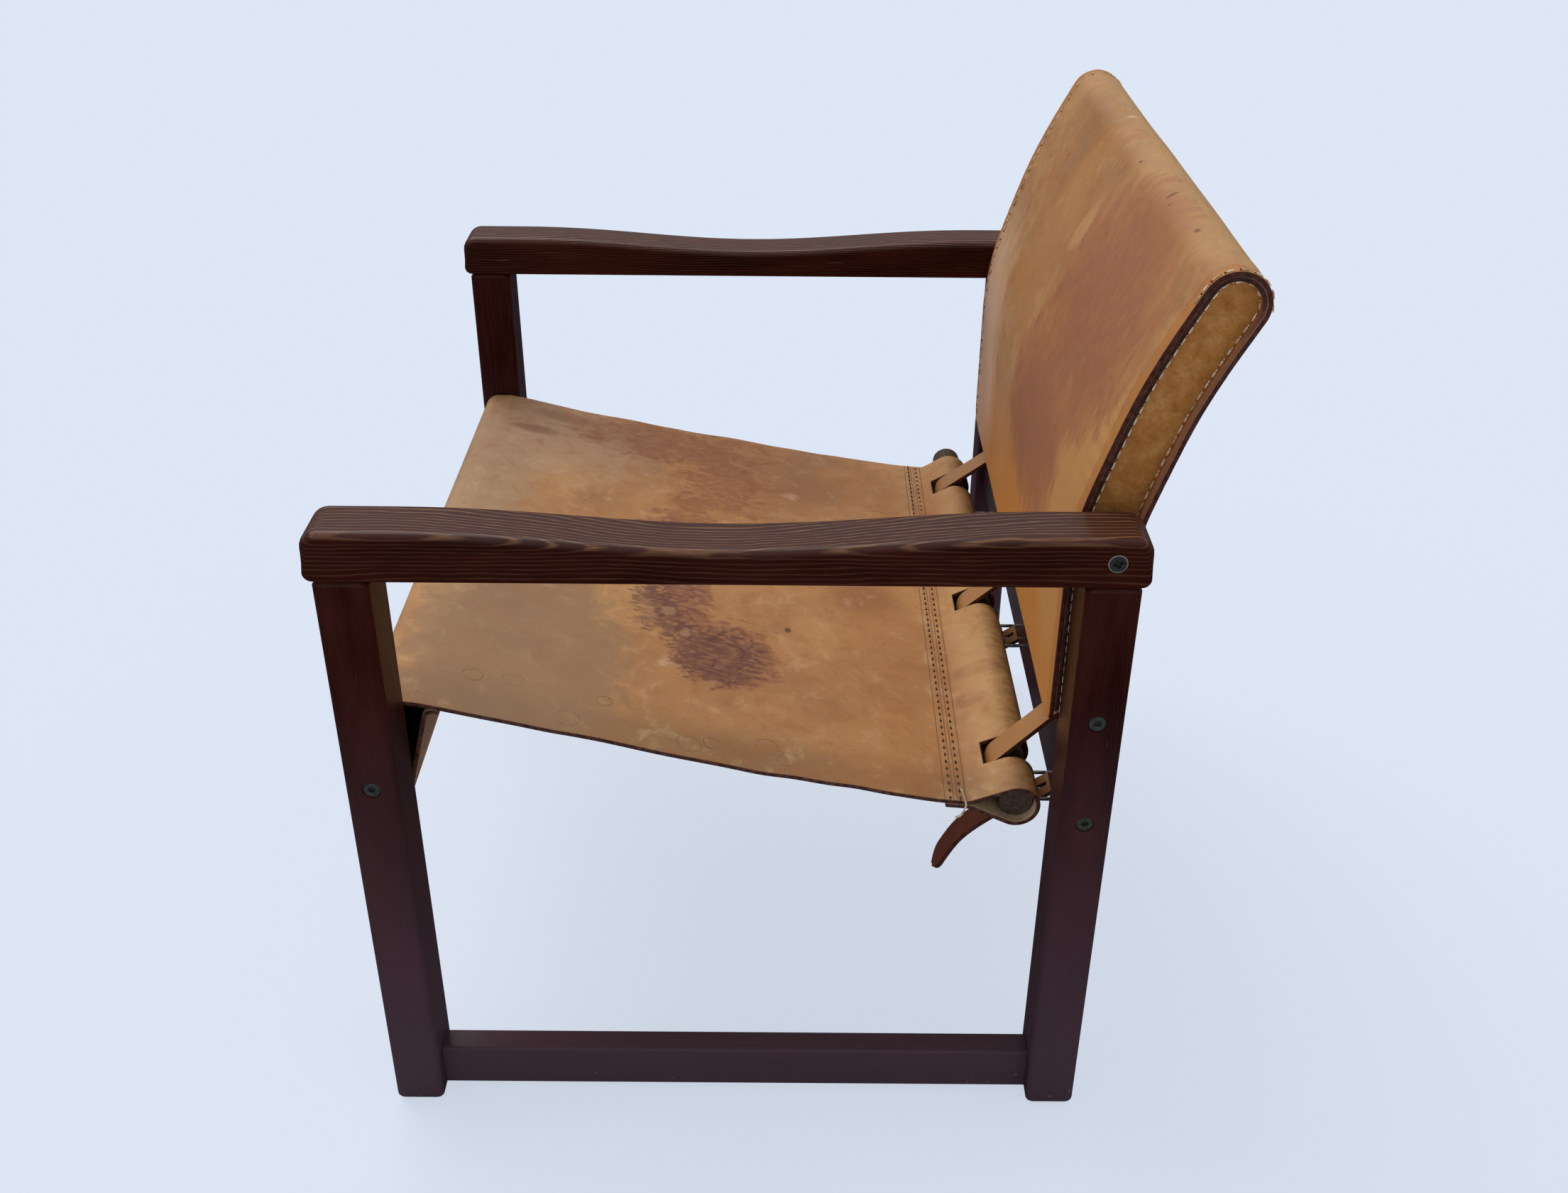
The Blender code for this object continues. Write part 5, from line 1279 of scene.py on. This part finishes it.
def hood_leather(tree):
    """The same saddle leather where backs have rubbed it: smoother, redder in one broad worn patch."""
    solid = add(tree, "TexCoord", out="Object")
    hide = add(tree, "TexCoord", out="UV")
    colour, height, mottle = hide_texture(tree, hide, solid)
    streaky = add(tree, "Mapping", hide, Rotation=(0, 0, 0.22), Scale=(1.0, 0.26, 1.0))
    ragged = add(tree, "TexNoise", streaky, Scale=per_mm(15), Detail=7, Roughness=0.68, Distortion=0.4)
    brushed = add(tree, "TexNoise", streaky, Scale=per_mm(4), Detail=5, Roughness=0.65)
    blotchy = add(tree, "TexNoise", hide, Scale=per_mm(30), Detail=6, Roughness=0.65, Distortion=0.4)
    colour = shaded(tree, colour, brushed, 0.88, 1.10, low=0.35, high=0.68)
    # One of these bands is painted sheen on the hood's lower far side
    colour = with_marks(tree, colour, hide, ragged, HOOD_BANDS)
    thin = add(tree, "MapRange", brushed, 0.34, 0.58, 0.30, 1.0)
    colour = with_stains(tree, colour, hide, thin, (
        (MOTTLED_BAND, blotchy, 0.10, 3.4, 0.12, "#A86C32", 0.50),
        (RUBBED_PATCH, ragged, 0.02, 0.9, 0.06, "#B07448", 0.80),
        (RUBBED_PATCH, ragged, 0.12, 1.5, 0.12, "#A56A46", 0.72),
        (RUBBED_PATCH, blotchy, 0.30, 2.2, 0.20, "#9A6246", 0.60),
    ))
    colour = with_marks(tree, colour, hide, ragged, HOOD_MARKS)
    folded = add(tree, "Mapping", hide, Scale=(0.16, 1.0, 1.0))
    wrinkle = add(tree, "TexNoise", folded, Scale=per_mm(4), Detail=4, Roughness=0.6, Distortion=0.6)
    on_fold = patch(tree, hide, ragged, (0.0, 0.392), (0.5, 0.028), 0, 0.5, 0.6)
    wrinkle = add(tree, "MapRange", wrinkle, 0.46, 0.34)
    wrinkle = add(tree, "Math", wrinkle, on_fold, operation="MULTIPLY")
    colour = over(tree, colour, wrinkle, "#94683A", 0.5)
    height = add(tree, "Math", wrinkle, -1.0, height, operation="MULTIPLY_ADD")
    wide = add(tree, "Math", add(tree, "SeparateXYZ", hide, out="X"), operation="ABSOLUTE")
    colour = over(tree, colour, add(tree, "MapRange", wide, 0.262, 0.267), "#B27233", 0.75)
    crease = thin_line(tree, wide, 0.2640, 0.0009, 0.0002)
    colour = over(tree, colour, crease, "#8A5426", 0.35)
    height = add(tree, "Math", crease, -1.0, height, operation="MULTIPLY_ADD")
    rough = add(tree, "MapRange", mottle, 0.3, 0.7, 0.36, 0.50)
    return finished(tree, colour, rough, (0.25, 0.0004, height), Specular_IOR_Level=0.24)


def flesh_side(tree):
    """The hide's shaved underside: pale, matt and slightly fuzzy."""
    solid = add(tree, "TexCoord", out="Object")
    stops = ((0.3, "#A58A6C"), (0.52, "#BFA484"), (0.72, "#D6BE9C"))
    fibre, colour = clouded(tree, solid, 3, stops, Detail=7, Roughness=0.75)
    return finished(tree, colour, 0.92, (0.5, 0.0005, fibre), Specular_IOR_Level=0.15)


def cut_edge(tree, dark, light):
    """The hide's cut edge, dyed, burnished, and rubbed lighter in places."""
    solid = add(tree, "TexCoord", out="Object")
    wear, colour = clouded(tree, solid, 5, ((0.42, dark), (0.75, light)), Detail=6, Roughness=0.7)
    return finished(tree, colour, 0.48, (0.4, 0.0003, wear), Specular_IOR_Level=0.35)


def flange_edge(tree, dark, light, tan):
    """The gusset flange's cut edge: dyed dark on the front flank, and left tan behind."""
    solid = add(tree, "TexCoord", out="Object")
    run = add(tree, "SeparateXYZ", add(tree, "TexCoord", out="UV"), out="Y")
    wear, colour = clouded(tree, solid, 5, ((0.42, dark), (0.75, light)), Detail=6, Roughness=0.7)
    colour = over(tree, colour, add(tree, "MapRange", run, 0.37, 0.41), tan, 0.85)
    return finished(tree, colour, 0.5, (0.4, 0.0003, wear), Specular_IOR_Level=0.3)


def napped_suede(tree):
    """Split leather with its nap brushed up: matt, with lighter and darker strokes where it was stroked."""
    solid = add(tree, "TexCoord", out="Object")
    stops = ((0.32, "#925622"), (0.5, "#AC7236"), (0.70, "#C49254"))
    _, colour = clouded(tree, solid, 11, stops, Detail=9, Roughness=0.82, Distortion=0.3)
    nap = add(tree, "TexNoise", solid, Scale=per_mm(0.9), Detail=4, Roughness=0.7)
    colour = shaded(tree, colour, nap, 0.86, 1.12)
    return finished(tree, colour, 0.95, (0.6, 0.0004, nap), Specular_IOR_Level=0.1, Sheen_Weight=0.25,
                    Sheen_Roughness=0.5)


def strap_leather(tree):
    """Smooth strap leather: tan along its run, turning dark brown towards the hanging tail."""
    solid = add(tree, "TexCoord", out="Object")
    hide = add(tree, "TexCoord", out="UV")
    run = add(tree, "SeparateXYZ", hide, out="Y")
    broad = add(tree, "TexNoise", solid, Scale=per_mm(22), Detail=6, Roughness=0.65)
    along = add(tree, "Math", broad, 0.10, run, operation="MULTIPLY_ADD")
    tans = ((0.15, "#A87542"), (0.19, "#B07C49"), (0.30, "#A06D3C"), (0.345, "#8A4820"), (0.40, "#763618"))
    colour = add(tree, "ValToRGB", along, stops=tans)
    # Dark spots for the punched holes: painted shade
    colour = with_marks(tree, colour, hide, broad, STRAP_HOLES)
    grain = add(tree, "TexNoise", solid, Scale=per_mm(2), Detail=4, Roughness=0.6)
    colour = shaded(tree, colour, grain, 0.9, 1.07)
    return finished(tree, colour, 0.46, (0.25, 0.0003, grain), Specular_IOR_Level=0.4)


def lacquered_pine(tree, along, across, up, pith, pitch, palette, gloss):
    """Softwood, stained dark red brown under worn lacquer: year rings show as lighter lines with a soft gloss.

    along, across and up name the axes of the board; pith is where the rings' centre lies across and up from it,
    pitch is the rings' spacing in millimetres, and gloss is the lacquer's strength on the sides and on top.
    """
    solid = add(tree, "TexCoord", out="Object")
    moved = add(tree, "VectorMath", solid, (0, -SHIFT, 0), operation="ADD")
    axes = {axis: add(tree, "SeparateXYZ", moved, out=axis) for axis in "XYZ"}
    centres = {"X": SIDE_X, "Y": LEG_Y, "Z": 0.0}
    local = {}
    for axis, offset in ((across, pith[0]), (up, pith[1])):
        value = axes[axis] if axis == "Z" else add(tree, "Math", axes[axis], operation="ABSOLUTE")
        local[axis] = add(tree, "Math", value, centres[axis] + offset, operation="SUBTRACT")
    slow = add(tree, "CombineXYZ", local[across], local[up], axes[along])
    bent, lengthwise = (
        add(tree, "Mapping", moved, Scale=tuple(squeeze if axis == along else 1.0 for axis in "XYZ"))
        for squeeze in (0.22, 0.03)
    )
    sway = add(tree, "TexNoise", bent, Scale=per_mm(30), Detail=3)
    radius = add(tree, "Math", sway, 0.008, flat_length(tree, slow), operation="MULTIPLY_ADD")
    rings = add(tree, "Math", radius, per_mm(pitch), operation="MULTIPLY")
    late = add(tree, "ValToRGB", add(tree, "Math", rings, operation="FRACT"), stops=LATE_RINGS)
    fibres = add(tree, "TexNoise", lengthwise, Scale=per_mm(0.9), Detail=4, Roughness=0.65)
    dark, mid, rubbed, glow = palette
    broad, colour = clouded(tree, bent, 26, ((0.32, dark), (0.68, mid)), Detail=4, Roughness=0.6)
    strength = add(tree, "MapRange", fibres, 0.35, 0.65, 0.15, 0.85)
    mask = add(tree, "Math", late, strength, operation="MULTIPLY")
    upward = add(tree, "SeparateXYZ", add(tree, "NewGeometry", out="Normal"), out="Z")
    on_top = add(tree, "MapRange", upward, 0.3, 0.9)
    worn = add(tree, "Math", on_top, 0.75, 0.25, operation="MULTIPLY_ADD")
    mask = add(tree, "Math", mask, worn, operation="MULTIPLY")
    # Upward faces get a lighter tint: wear and painted sheen
    colour = over(tree, colour, on_top, rubbed, 0.30)
    colour = over(tree, colour, mask, glow, 0.85)
    scratch = add(tree, "TexNoise", lengthwise, Scale=per_mm(1.7), Detail=3)
    colour = over(tree, colour, add(tree, "MapRange", scratch, 0.735, 0.77), "#8E7C6C", 0.35)
    # Greyer and lighter towards the floor: a painted reflection of the pale floor on the legs and stretchers
    colour = over(tree, colour, add(tree, "MapRange", axes["Z"], 0.40, 0.04), "#54424C", 0.72)
    chips = add(tree, "TexNoise", moved, Scale=per_mm(7), Detail=6, Roughness=0.8)
    near_floor = add(tree, "MapRange", axes["Z"], 0.050, 0.0, 0.0, 0.13)
    chips = add(tree, "Math", chips, near_floor, operation="ADD")
    colour = over(tree, colour, add(tree, "MapRange", chips, 0.745, 0.765), "#B9A48E", 0.7)
    height = add(tree, "Math", late, 0.5, fibres, operation="MULTIPLY_ADD")
    rough = add(tree, "MapRange", broad, 0.3, 0.7, 0.28, 0.42)
    lacquer = add(tree, "MapRange", on_top, 0.0, 1.0, *gloss)
    return finished(tree, colour, rough, (0.18, 0.0004, height), Specular_IOR_Level=0.06,
                    Coat_Weight=lacquer, Coat_Roughness=0.16)


def weathered_wood(tree):
    """Bare turned hardwood that has gone grey brown, with dirt in its fibres."""
    lengthwise = add(tree, "Mapping", add(tree, "TexCoord", out="Object"), Scale=(0.05, 1.0, 1.0))
    stops = ((0.3, "#2E2019"), (0.5, "#4A382B"), (0.72, "#6F5D4B"))
    fibres, colour = clouded(tree, lengthwise, 1.6, stops, Detail=6, Roughness=0.7)
    return finished(tree, colour, 0.8, (0.6, 0.0005, fibres), Specular_IOR_Level=0.25)


def sanded_wood(tree):
    """Plain sanded pine of the hidden back frame."""
    lengthwise = add(tree, "Mapping", add(tree, "TexCoord", out="Object"), Scale=(1.0, 1.0, 0.08))
    fibres, colour = clouded(tree, lengthwise, 4, ((0.3, "#A07C52"), (0.7, "#C7A778")), Detail=5, Roughness=0.6)
    return finished(tree, colour, 0.75, (0.3, 0.0003, fibres))


def steel(tree, dark, light, roughness, metallic):
    """Steel with a worn finish: the tint varies a little and the roughness with it."""
    solid = add(tree, "TexCoord", out="Object")
    wear, colour = clouded(tree, solid, 2.5, ((0.4, dark), (0.72, light)), Detail=5, Roughness=0.7)
    rough = add(tree, "MapRange", wear, 0.3, 0.7, roughness - 0.08, roughness + 0.12)
    return finished(tree, colour, rough, Metallic=metallic)


def pivot_steel(tree, dark, light, bare):
    """Blackened screw with a bright ring round its rim: rubbed bare metal and a painted highlight."""
    solid = add(tree, "TexCoord", out="Object")
    local = add(tree, "VectorMath", solid, (0, LEG_Y + SHIFT, PIVOT_Z), operation="SUBTRACT")
    rim_start, soft = PIVOT_HEAD_RADIUS - PIVOT_EDGE, 0.0002
    rim = add(tree, "MapRange", flat_length(tree, local, (0, 1, 1)), rim_start - soft, rim_start + soft)
    _, colour = clouded(tree, solid, 2.5, ((0.4, dark), (0.72, light)), Detail=5, Roughness=0.7)
    return finished(tree, over(tree, colour, rim, bare, 0.85), 0.42, Metallic=0.4)


def linen_thread(tree, colour_hex, dirt_hex):
    """Waxed linen thread: matt, dirty in places, with the twist of its plies."""
    solid = add(tree, "TexCoord", out="Object")
    _, colour = clouded(tree, solid, 9, ((0.40, dirt_hex), (0.56, colour_hex)), Detail=4, Roughness=0.6)
    twist = add(tree, "TexNoise", solid, Scale=per_mm(0.6))
    return finished(tree, colour, 0.8, (0.4, 0.0002, twist))


def studio_floor(tree):
    """Matt pale floor that keeps the object's shadow, and that metal and lacquer mirror in a darker tone."""
    mirrored = add(tree, "LightPath", out="Is Glossy Ray")
    tone = add(tree, "MixRGB", mirrored, linear(BACKDROP), linear("#4C4E56"))
    lit = add(tree, "BsdfDiffuse", tone)
    glow = add(tree, "Emission", linear("#DFE8F7"), 1.0)
    share = add(tree, "Math", add(tree, "LightPath", out="Is Camera Ray"), 0.74, operation="MULTIPLY")
    return add(tree, "MixShader", share, lit, glow)


# Stitches, by Geometry Nodes

def stitch_nodes():
    """Tree that lays stitches end to end along a line of edges, and the identifiers of its inputs by name."""
    tree = bpy.data.node_groups.new("stitches_along_a_line", "GeometryNodeTree")
    face = tree.interface
    sockets = {}
    kinds = {"Line": "Geometry", "Pitch": "Float", "Length": "Float", "Radius": "Float", "Start": "Float",
             "Thread": "Material"}
    for label, kind in kinds.items():
        socket = face.new_socket(name=label, in_out="INPUT", socket_type="NodeSocket" + kind)
        sockets[label] = socket.identifier
    face.new_socket(name="Stitches", in_out="OUTPUT", socket_type="NodeSocketGeometry")
    group = tree.nodes.new("NodeGroupInput")
    entry = {output.name: output for output in group.outputs}
    line = add(tree, "GeometryNodeMeshToCurve", entry["Line"])
    line = add(tree, "GeometryNodeTrimCurve", line, Start=entry["Start"], End=100.0, mode="LENGTH")
    points = add(tree, "GeometryNodeResampleCurve", line, Length=entry["Pitch"], mode="LENGTH")
    bead = add(tree, "GeometryNodeMeshUVSphere", Segments=8, Rings=6, Radius=1.0, out="Mesh")
    half = add(tree, "Math", entry["Length"], 0.5, operation="MULTIPLY")
    size = add(tree, "CombineXYZ", half, entry["Radius"], entry["Radius"])
    bead = add(tree, "GeometryNodeTransform", bead, Scale=size)
    bead = add(tree, "GeometryNodeSetShadeSmooth", bead)
    tangent = add(tree, "GeometryNodeInputTangent")
    turn = add(tree, "FunctionNodeAlignRotationToVector", Vector=tangent, axis="X")
    laid = add(tree, "GeometryNodeInstanceOnPoints", points, Instance=bead, Rotation=turn)
    laid = add(tree, "GeometryNodeRealizeInstances", laid)
    laid = add(tree, "GeometryNodeSetMaterial", laid, Material=entry["Thread"])
    add(tree, "NodeGroupOutput", laid)
    return tree, sockets


def stitch_row(name, lines, thread, body, nodes, sizes):
    """One object of stitches along several lines of points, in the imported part's place."""
    tree, sockets = nodes
    points, edges = [], []
    for line in lines:
        edges += [(len(points) + i, len(points) + i + 1) for i in range(len(line) - 1)]
        points += line
    obj = new_object(name, points, edges=edges)
    modifier = obj.modifiers.new("stitches", "NODES")
    modifier.node_group = tree
    modifier[sockets["Thread"]] = thread
    for label, value in sizes.items():
        modifier[sockets[label]] = value
    put_modifiers(obj)
    place(obj, body, "saddle_leather")


def make_hem_stitches(nodes, cream, soiled, shadow):
    """Two rows along the seat's hem, the rear one with newer thread at its far end, and one loose thread."""
    xs = [-HEM_ROW_HALF + 2 * HEM_ROW_HALF * k / HEM_ROW_STEPS for k in range(HEM_ROW_STEPS + 1)]
    rows = [[(x, y, seat_top(x, y) + THREAD_LIFT) for x in xs] for y in HEM_ROWS]
    clean = [point for point in rows[1] if point[0] < CLEAN_THREAD_END]
    stained = [rows[0], [point for point in rows[1] if point[0] >= CLEAN_THREAD_END]]
    stitch_row("seat_hem_stitches_stained", stained, soiled, "chair_frame", nodes, HEM_STITCH)
    stitch_row("seat_hem_stitches_clean", [clean], cream, "chair_frame", nodes, HEM_STITCH)
    x, y, z = rows[1][-1]
    end = smooth([(x + out, y + back, z + up) for out, back, up in LOOSE_THREAD])
    solid_piece("loose_thread_end", wire(end, LOOSE_THREAD_RADIUS, 8), cream, "chair_frame", "saddle_leather")
    # Dark beads in the holes between the stitches: painted shade
    pricks = [[(x, y, z - THREAD_LIFT) for x, y, z in row] for row in rows]
    stitch_row("seat_hem_stitch_holes", pricks, shadow, "chair_frame", nodes, HEM_HOLE)


def make_hood_stitches(nodes, cream, shadow):
    """The two rows that hold hood and gussets together: one outside, one beside the suede."""
    outer = back_arch(BACK_HALF + THREAD_LIFT, FRONT_HEM_HEIGHT + SEAM_UP, REAR_HEM_HEIGHT + SEAM_UP)
    inner_half = BACK_HALF - LEATHER - GAP - GUSSET_THICKNESS
    up = HEM_CORNER + INNER_SEAM_UP
    inner = back_arch(inner_half - INNER_SEAM_PROUD, FRONT_HEM_HEIGHT + up, REAR_HEM_HEIGHT + up)
    outer, inner = finely(outer, SEAM_STEP), finely(inner, SEAM_STEP)
    for word, side in SIDES:
        seam = NEAR_SEAM_X if side > 0 else FAR_SEAM_X
        shows_from = NEAR_SEAM_SHOWS_FROM if side > 0 else 0
        rows = [[(side * seam, y, z) for y, z in outer if z > shows_from], []]
        for i, (y, z) in enumerate(inner):
            behind = max(0, min(1, (i / len(inner) - 0.46) / 0.12))
            rows[1].append((side * (INNER_SEAM_X - INNER_SEAM_DRAWN_IN * behind), y, z))
        stitch_row("hood_seam_stitches_" + word, rows, cream, "tilting_back", nodes, SEAM_STITCH)
        # Dark beads in the holes between the stitches: painted shade
        stitch_row("hood_seam_holes_" + word, rows, shadow, "tilting_back", nodes, SEAM_HOLE)


# Scene

def make_floor():
    corners = [(a * FLOOR_HALF, b * FLOOR_HALF, 0) for a, b in ((-1, -1), (1, -1), (1, 1), (-1, 1))]
    floor = new_object("studio_floor", corners, [(0, 1, 2, 3)])
    floor.data.materials.append(new_material("pale_studio_floor", studio_floor))


def make_world():
    world = bpy.data.worlds.new("pale_studio")
    world.use_nodes = True
    tree = world.node_tree
    tree.nodes.clear()
    backdrop = add(tree, "Background", linear(BACKDROP), 1.0)
    soft = add(tree, "Background", linear("#F2F5FC"), 0.62)
    rise = add(tree, "SeparateXYZ", add(tree, "TexCoord", out="Generated"), out="Z")
    ceiling = add(tree, "MapRange", rise, 0.05, 0.85, 0.22, 1.15, interpolation_type="SMOOTHSTEP")
    mirrored = add(tree, "Background", linear("#E6ECFA"), ceiling)
    shiny, seen, through = (
        add(tree, "LightPath", out=f"Is {word} Ray") for word in ("Glossy", "Camera", "Transmission")
    )
    mix = add(tree, "MixShader", shiny, soft, mirrored)
    seen = add(tree, "Math", seen, through, operation="MAXIMUM")
    add(tree, "OutputWorld", add(tree, "MixShader", seen, mix, backdrop))
    bpy.context.scene.world = world


def make_lamp(name, direction, strength, angle, colour):
    lamp = bpy.data.lights.new(name, "SUN")
    lamp.energy = strength
    lamp.angle = math.radians(angle)
    lamp.color = linear(colour)[:3]
    obj = linked(name, lamp)
    obj.rotation_mode = "QUATERNION"
    obj.rotation_quaternion = Vector(direction).to_track_quat("-Z", "Y")


def make_camera():
    """Camera at the photograph's viewing angle."""
    data = bpy.data.cameras.new("photo_camera")
    data.sensor_width = SENSOR_WIDTH_MM
    data.lens = SENSOR_WIDTH_MM * LENS_IN_PHOTO_PIXELS / PHOTO_WIDTH
    data.shift_x = SHIFT_IN_PHOTO_PIXELS / PHOTO_WIDTH
    data.clip_start, data.clip_end = 0.05, 100
    camera = linked("photo_camera", data)
    turn = Matrix.Identity(4)
    for angle, axis in ((CAMERA_HEADING, "Z"), (90 - CAMERA_DOWN, "X"), (CAMERA_ROLL, "Z")):
        turn = turn @ Matrix.Rotation(math.radians(angle), 4, axis)
    camera.matrix_world = Matrix.Translation(Vector(CAMERA_PLACE) + Vector((0, SHIFT, 0))) @ turn
    bpy.context.scene.camera = camera


def finish_kept_nodes(inner_wood, bright_steel, bolt_steel):
    """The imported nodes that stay, all hidden in the wood or the hood, get the finish of their kind."""
    for name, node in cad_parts.items():
        finish = None
        if name.startswith(("back_upright", "back_rail")):
            finish = inner_wood
        elif "nut" in name or "insert" in name:
            finish = bright_steel
        elif "spacer" in name:
            finish = bolt_steel
        if finish:
            node.data.materials.clear()
            node.data.materials.append(finish)


def main():
    make_camera()
    make_world()
    make_floor()
    make_lamp("overhead_softbox", (0.42, 0.34, -0.84), 1.55, 45, "#FFFCF6")

    woods = {
        word: new_material(f"lacquered_pine_{word}s", lacquered_pine, *values)
        for word, *values in (
            ("armrest", "Y", "X", "Z", (-0.045, 0.450), 2.2, ARM_PALETTE, (0.05, 0.22)),
            ("leg", "Z", "X", "Y", (0.045, 0.030), 1.8, LEG_PALETTE, (0.03, 0.06)),
            ("stretcher", "Y", "X", "Z", (0.035, -0.020), 1.8, LEG_PALETTE, (0.08, 0.08)),
            ("rail", "X", "Y", "Z", (0.050, 0.220), 1.8, LEG_PALETTE, (0.45, 0.45)),
        )
    }
    flesh = new_material("shaved_flesh_side", flesh_side)
    dark_edge = new_material("burnished_cut_edge", cut_edge, "#3C1611", "#6C3826")
    seat_edge = new_material("worn_cut_edge_of_the_seat", cut_edge, "#3A1A14", "#7A4A32")
    seat_grain = new_material("worn_saddle_leather_seat", seat_leather)
    hood_grain = new_material("worn_saddle_leather_hood", hood_leather)
    strap_grain = new_material("tan_strap_leather", strap_leather)
    suede = new_material("napped_suede", napped_suede)
    flange_grain = new_material("waxed_gusset_flange", cut_edge, "#8A4E26", "#B07840")
    flange_rim = new_material("half_dyed_flange_edge", flange_edge, "#2E1210", "#5C3226", "#98592C")
    bolt_steel = new_material("blackened_steel", steel, "#3A3E38", "#565A52", 0.5, 0.4)
    bright_steel = new_material("nickel_plated_steel", steel, "#8E8C86", "#B5B3AD", 0.28, 1.0)
    # Its bright rim is rubbed bare metal and a painted highlight
    rim_bright_steel = new_material("pivot_steel_with_bright_rim", pivot_steel, "#2E302C", "#4C4E48", "#C8C2B4")
    dowel_wood = new_material("weathered_dowel_wood", weathered_wood)
    inner_wood = new_material("sanded_pine", sanded_wood)
    cream = new_material("waxed_linen_thread", linen_thread, "#DCC9A8", "#A88C66")
    soiled = new_material("soiled_linen_thread", linen_thread, "#7A5636", "#3E2616")
    # Dark beads in the stitch holes: painted shade, in the thread's look
    shadow = new_material("pricked_stitch_holes", linen_thread, "#2E1B10", "#24150C")

    make_side_frames(woods)
    make_rails(woods["rail"])
    make_bolts(bolt_steel)
    make_pivots(rim_bright_steel)
    make_dowel(dowel_wood)
    make_seat((seat_grain, flesh, seat_edge))
    make_straps((strap_grain, strap_grain, dark_edge))
    make_buckles(bright_steel)
    make_hood((hood_grain, flesh, dark_edge))
    make_gussets((flange_grain, flange_grain, flange_rim), suede)
    nodes = stitch_nodes()
    make_hem_stitches(nodes, cream, soiled, shadow)
    make_hood_stitches(nodes, cream, shadow)
    finish_kept_nodes(inner_wood, bright_steel, bolt_steel)

    bpy.context.scene.view_settings.view_transform = "Standard"
    bpy.context.view_layer.update()


main()
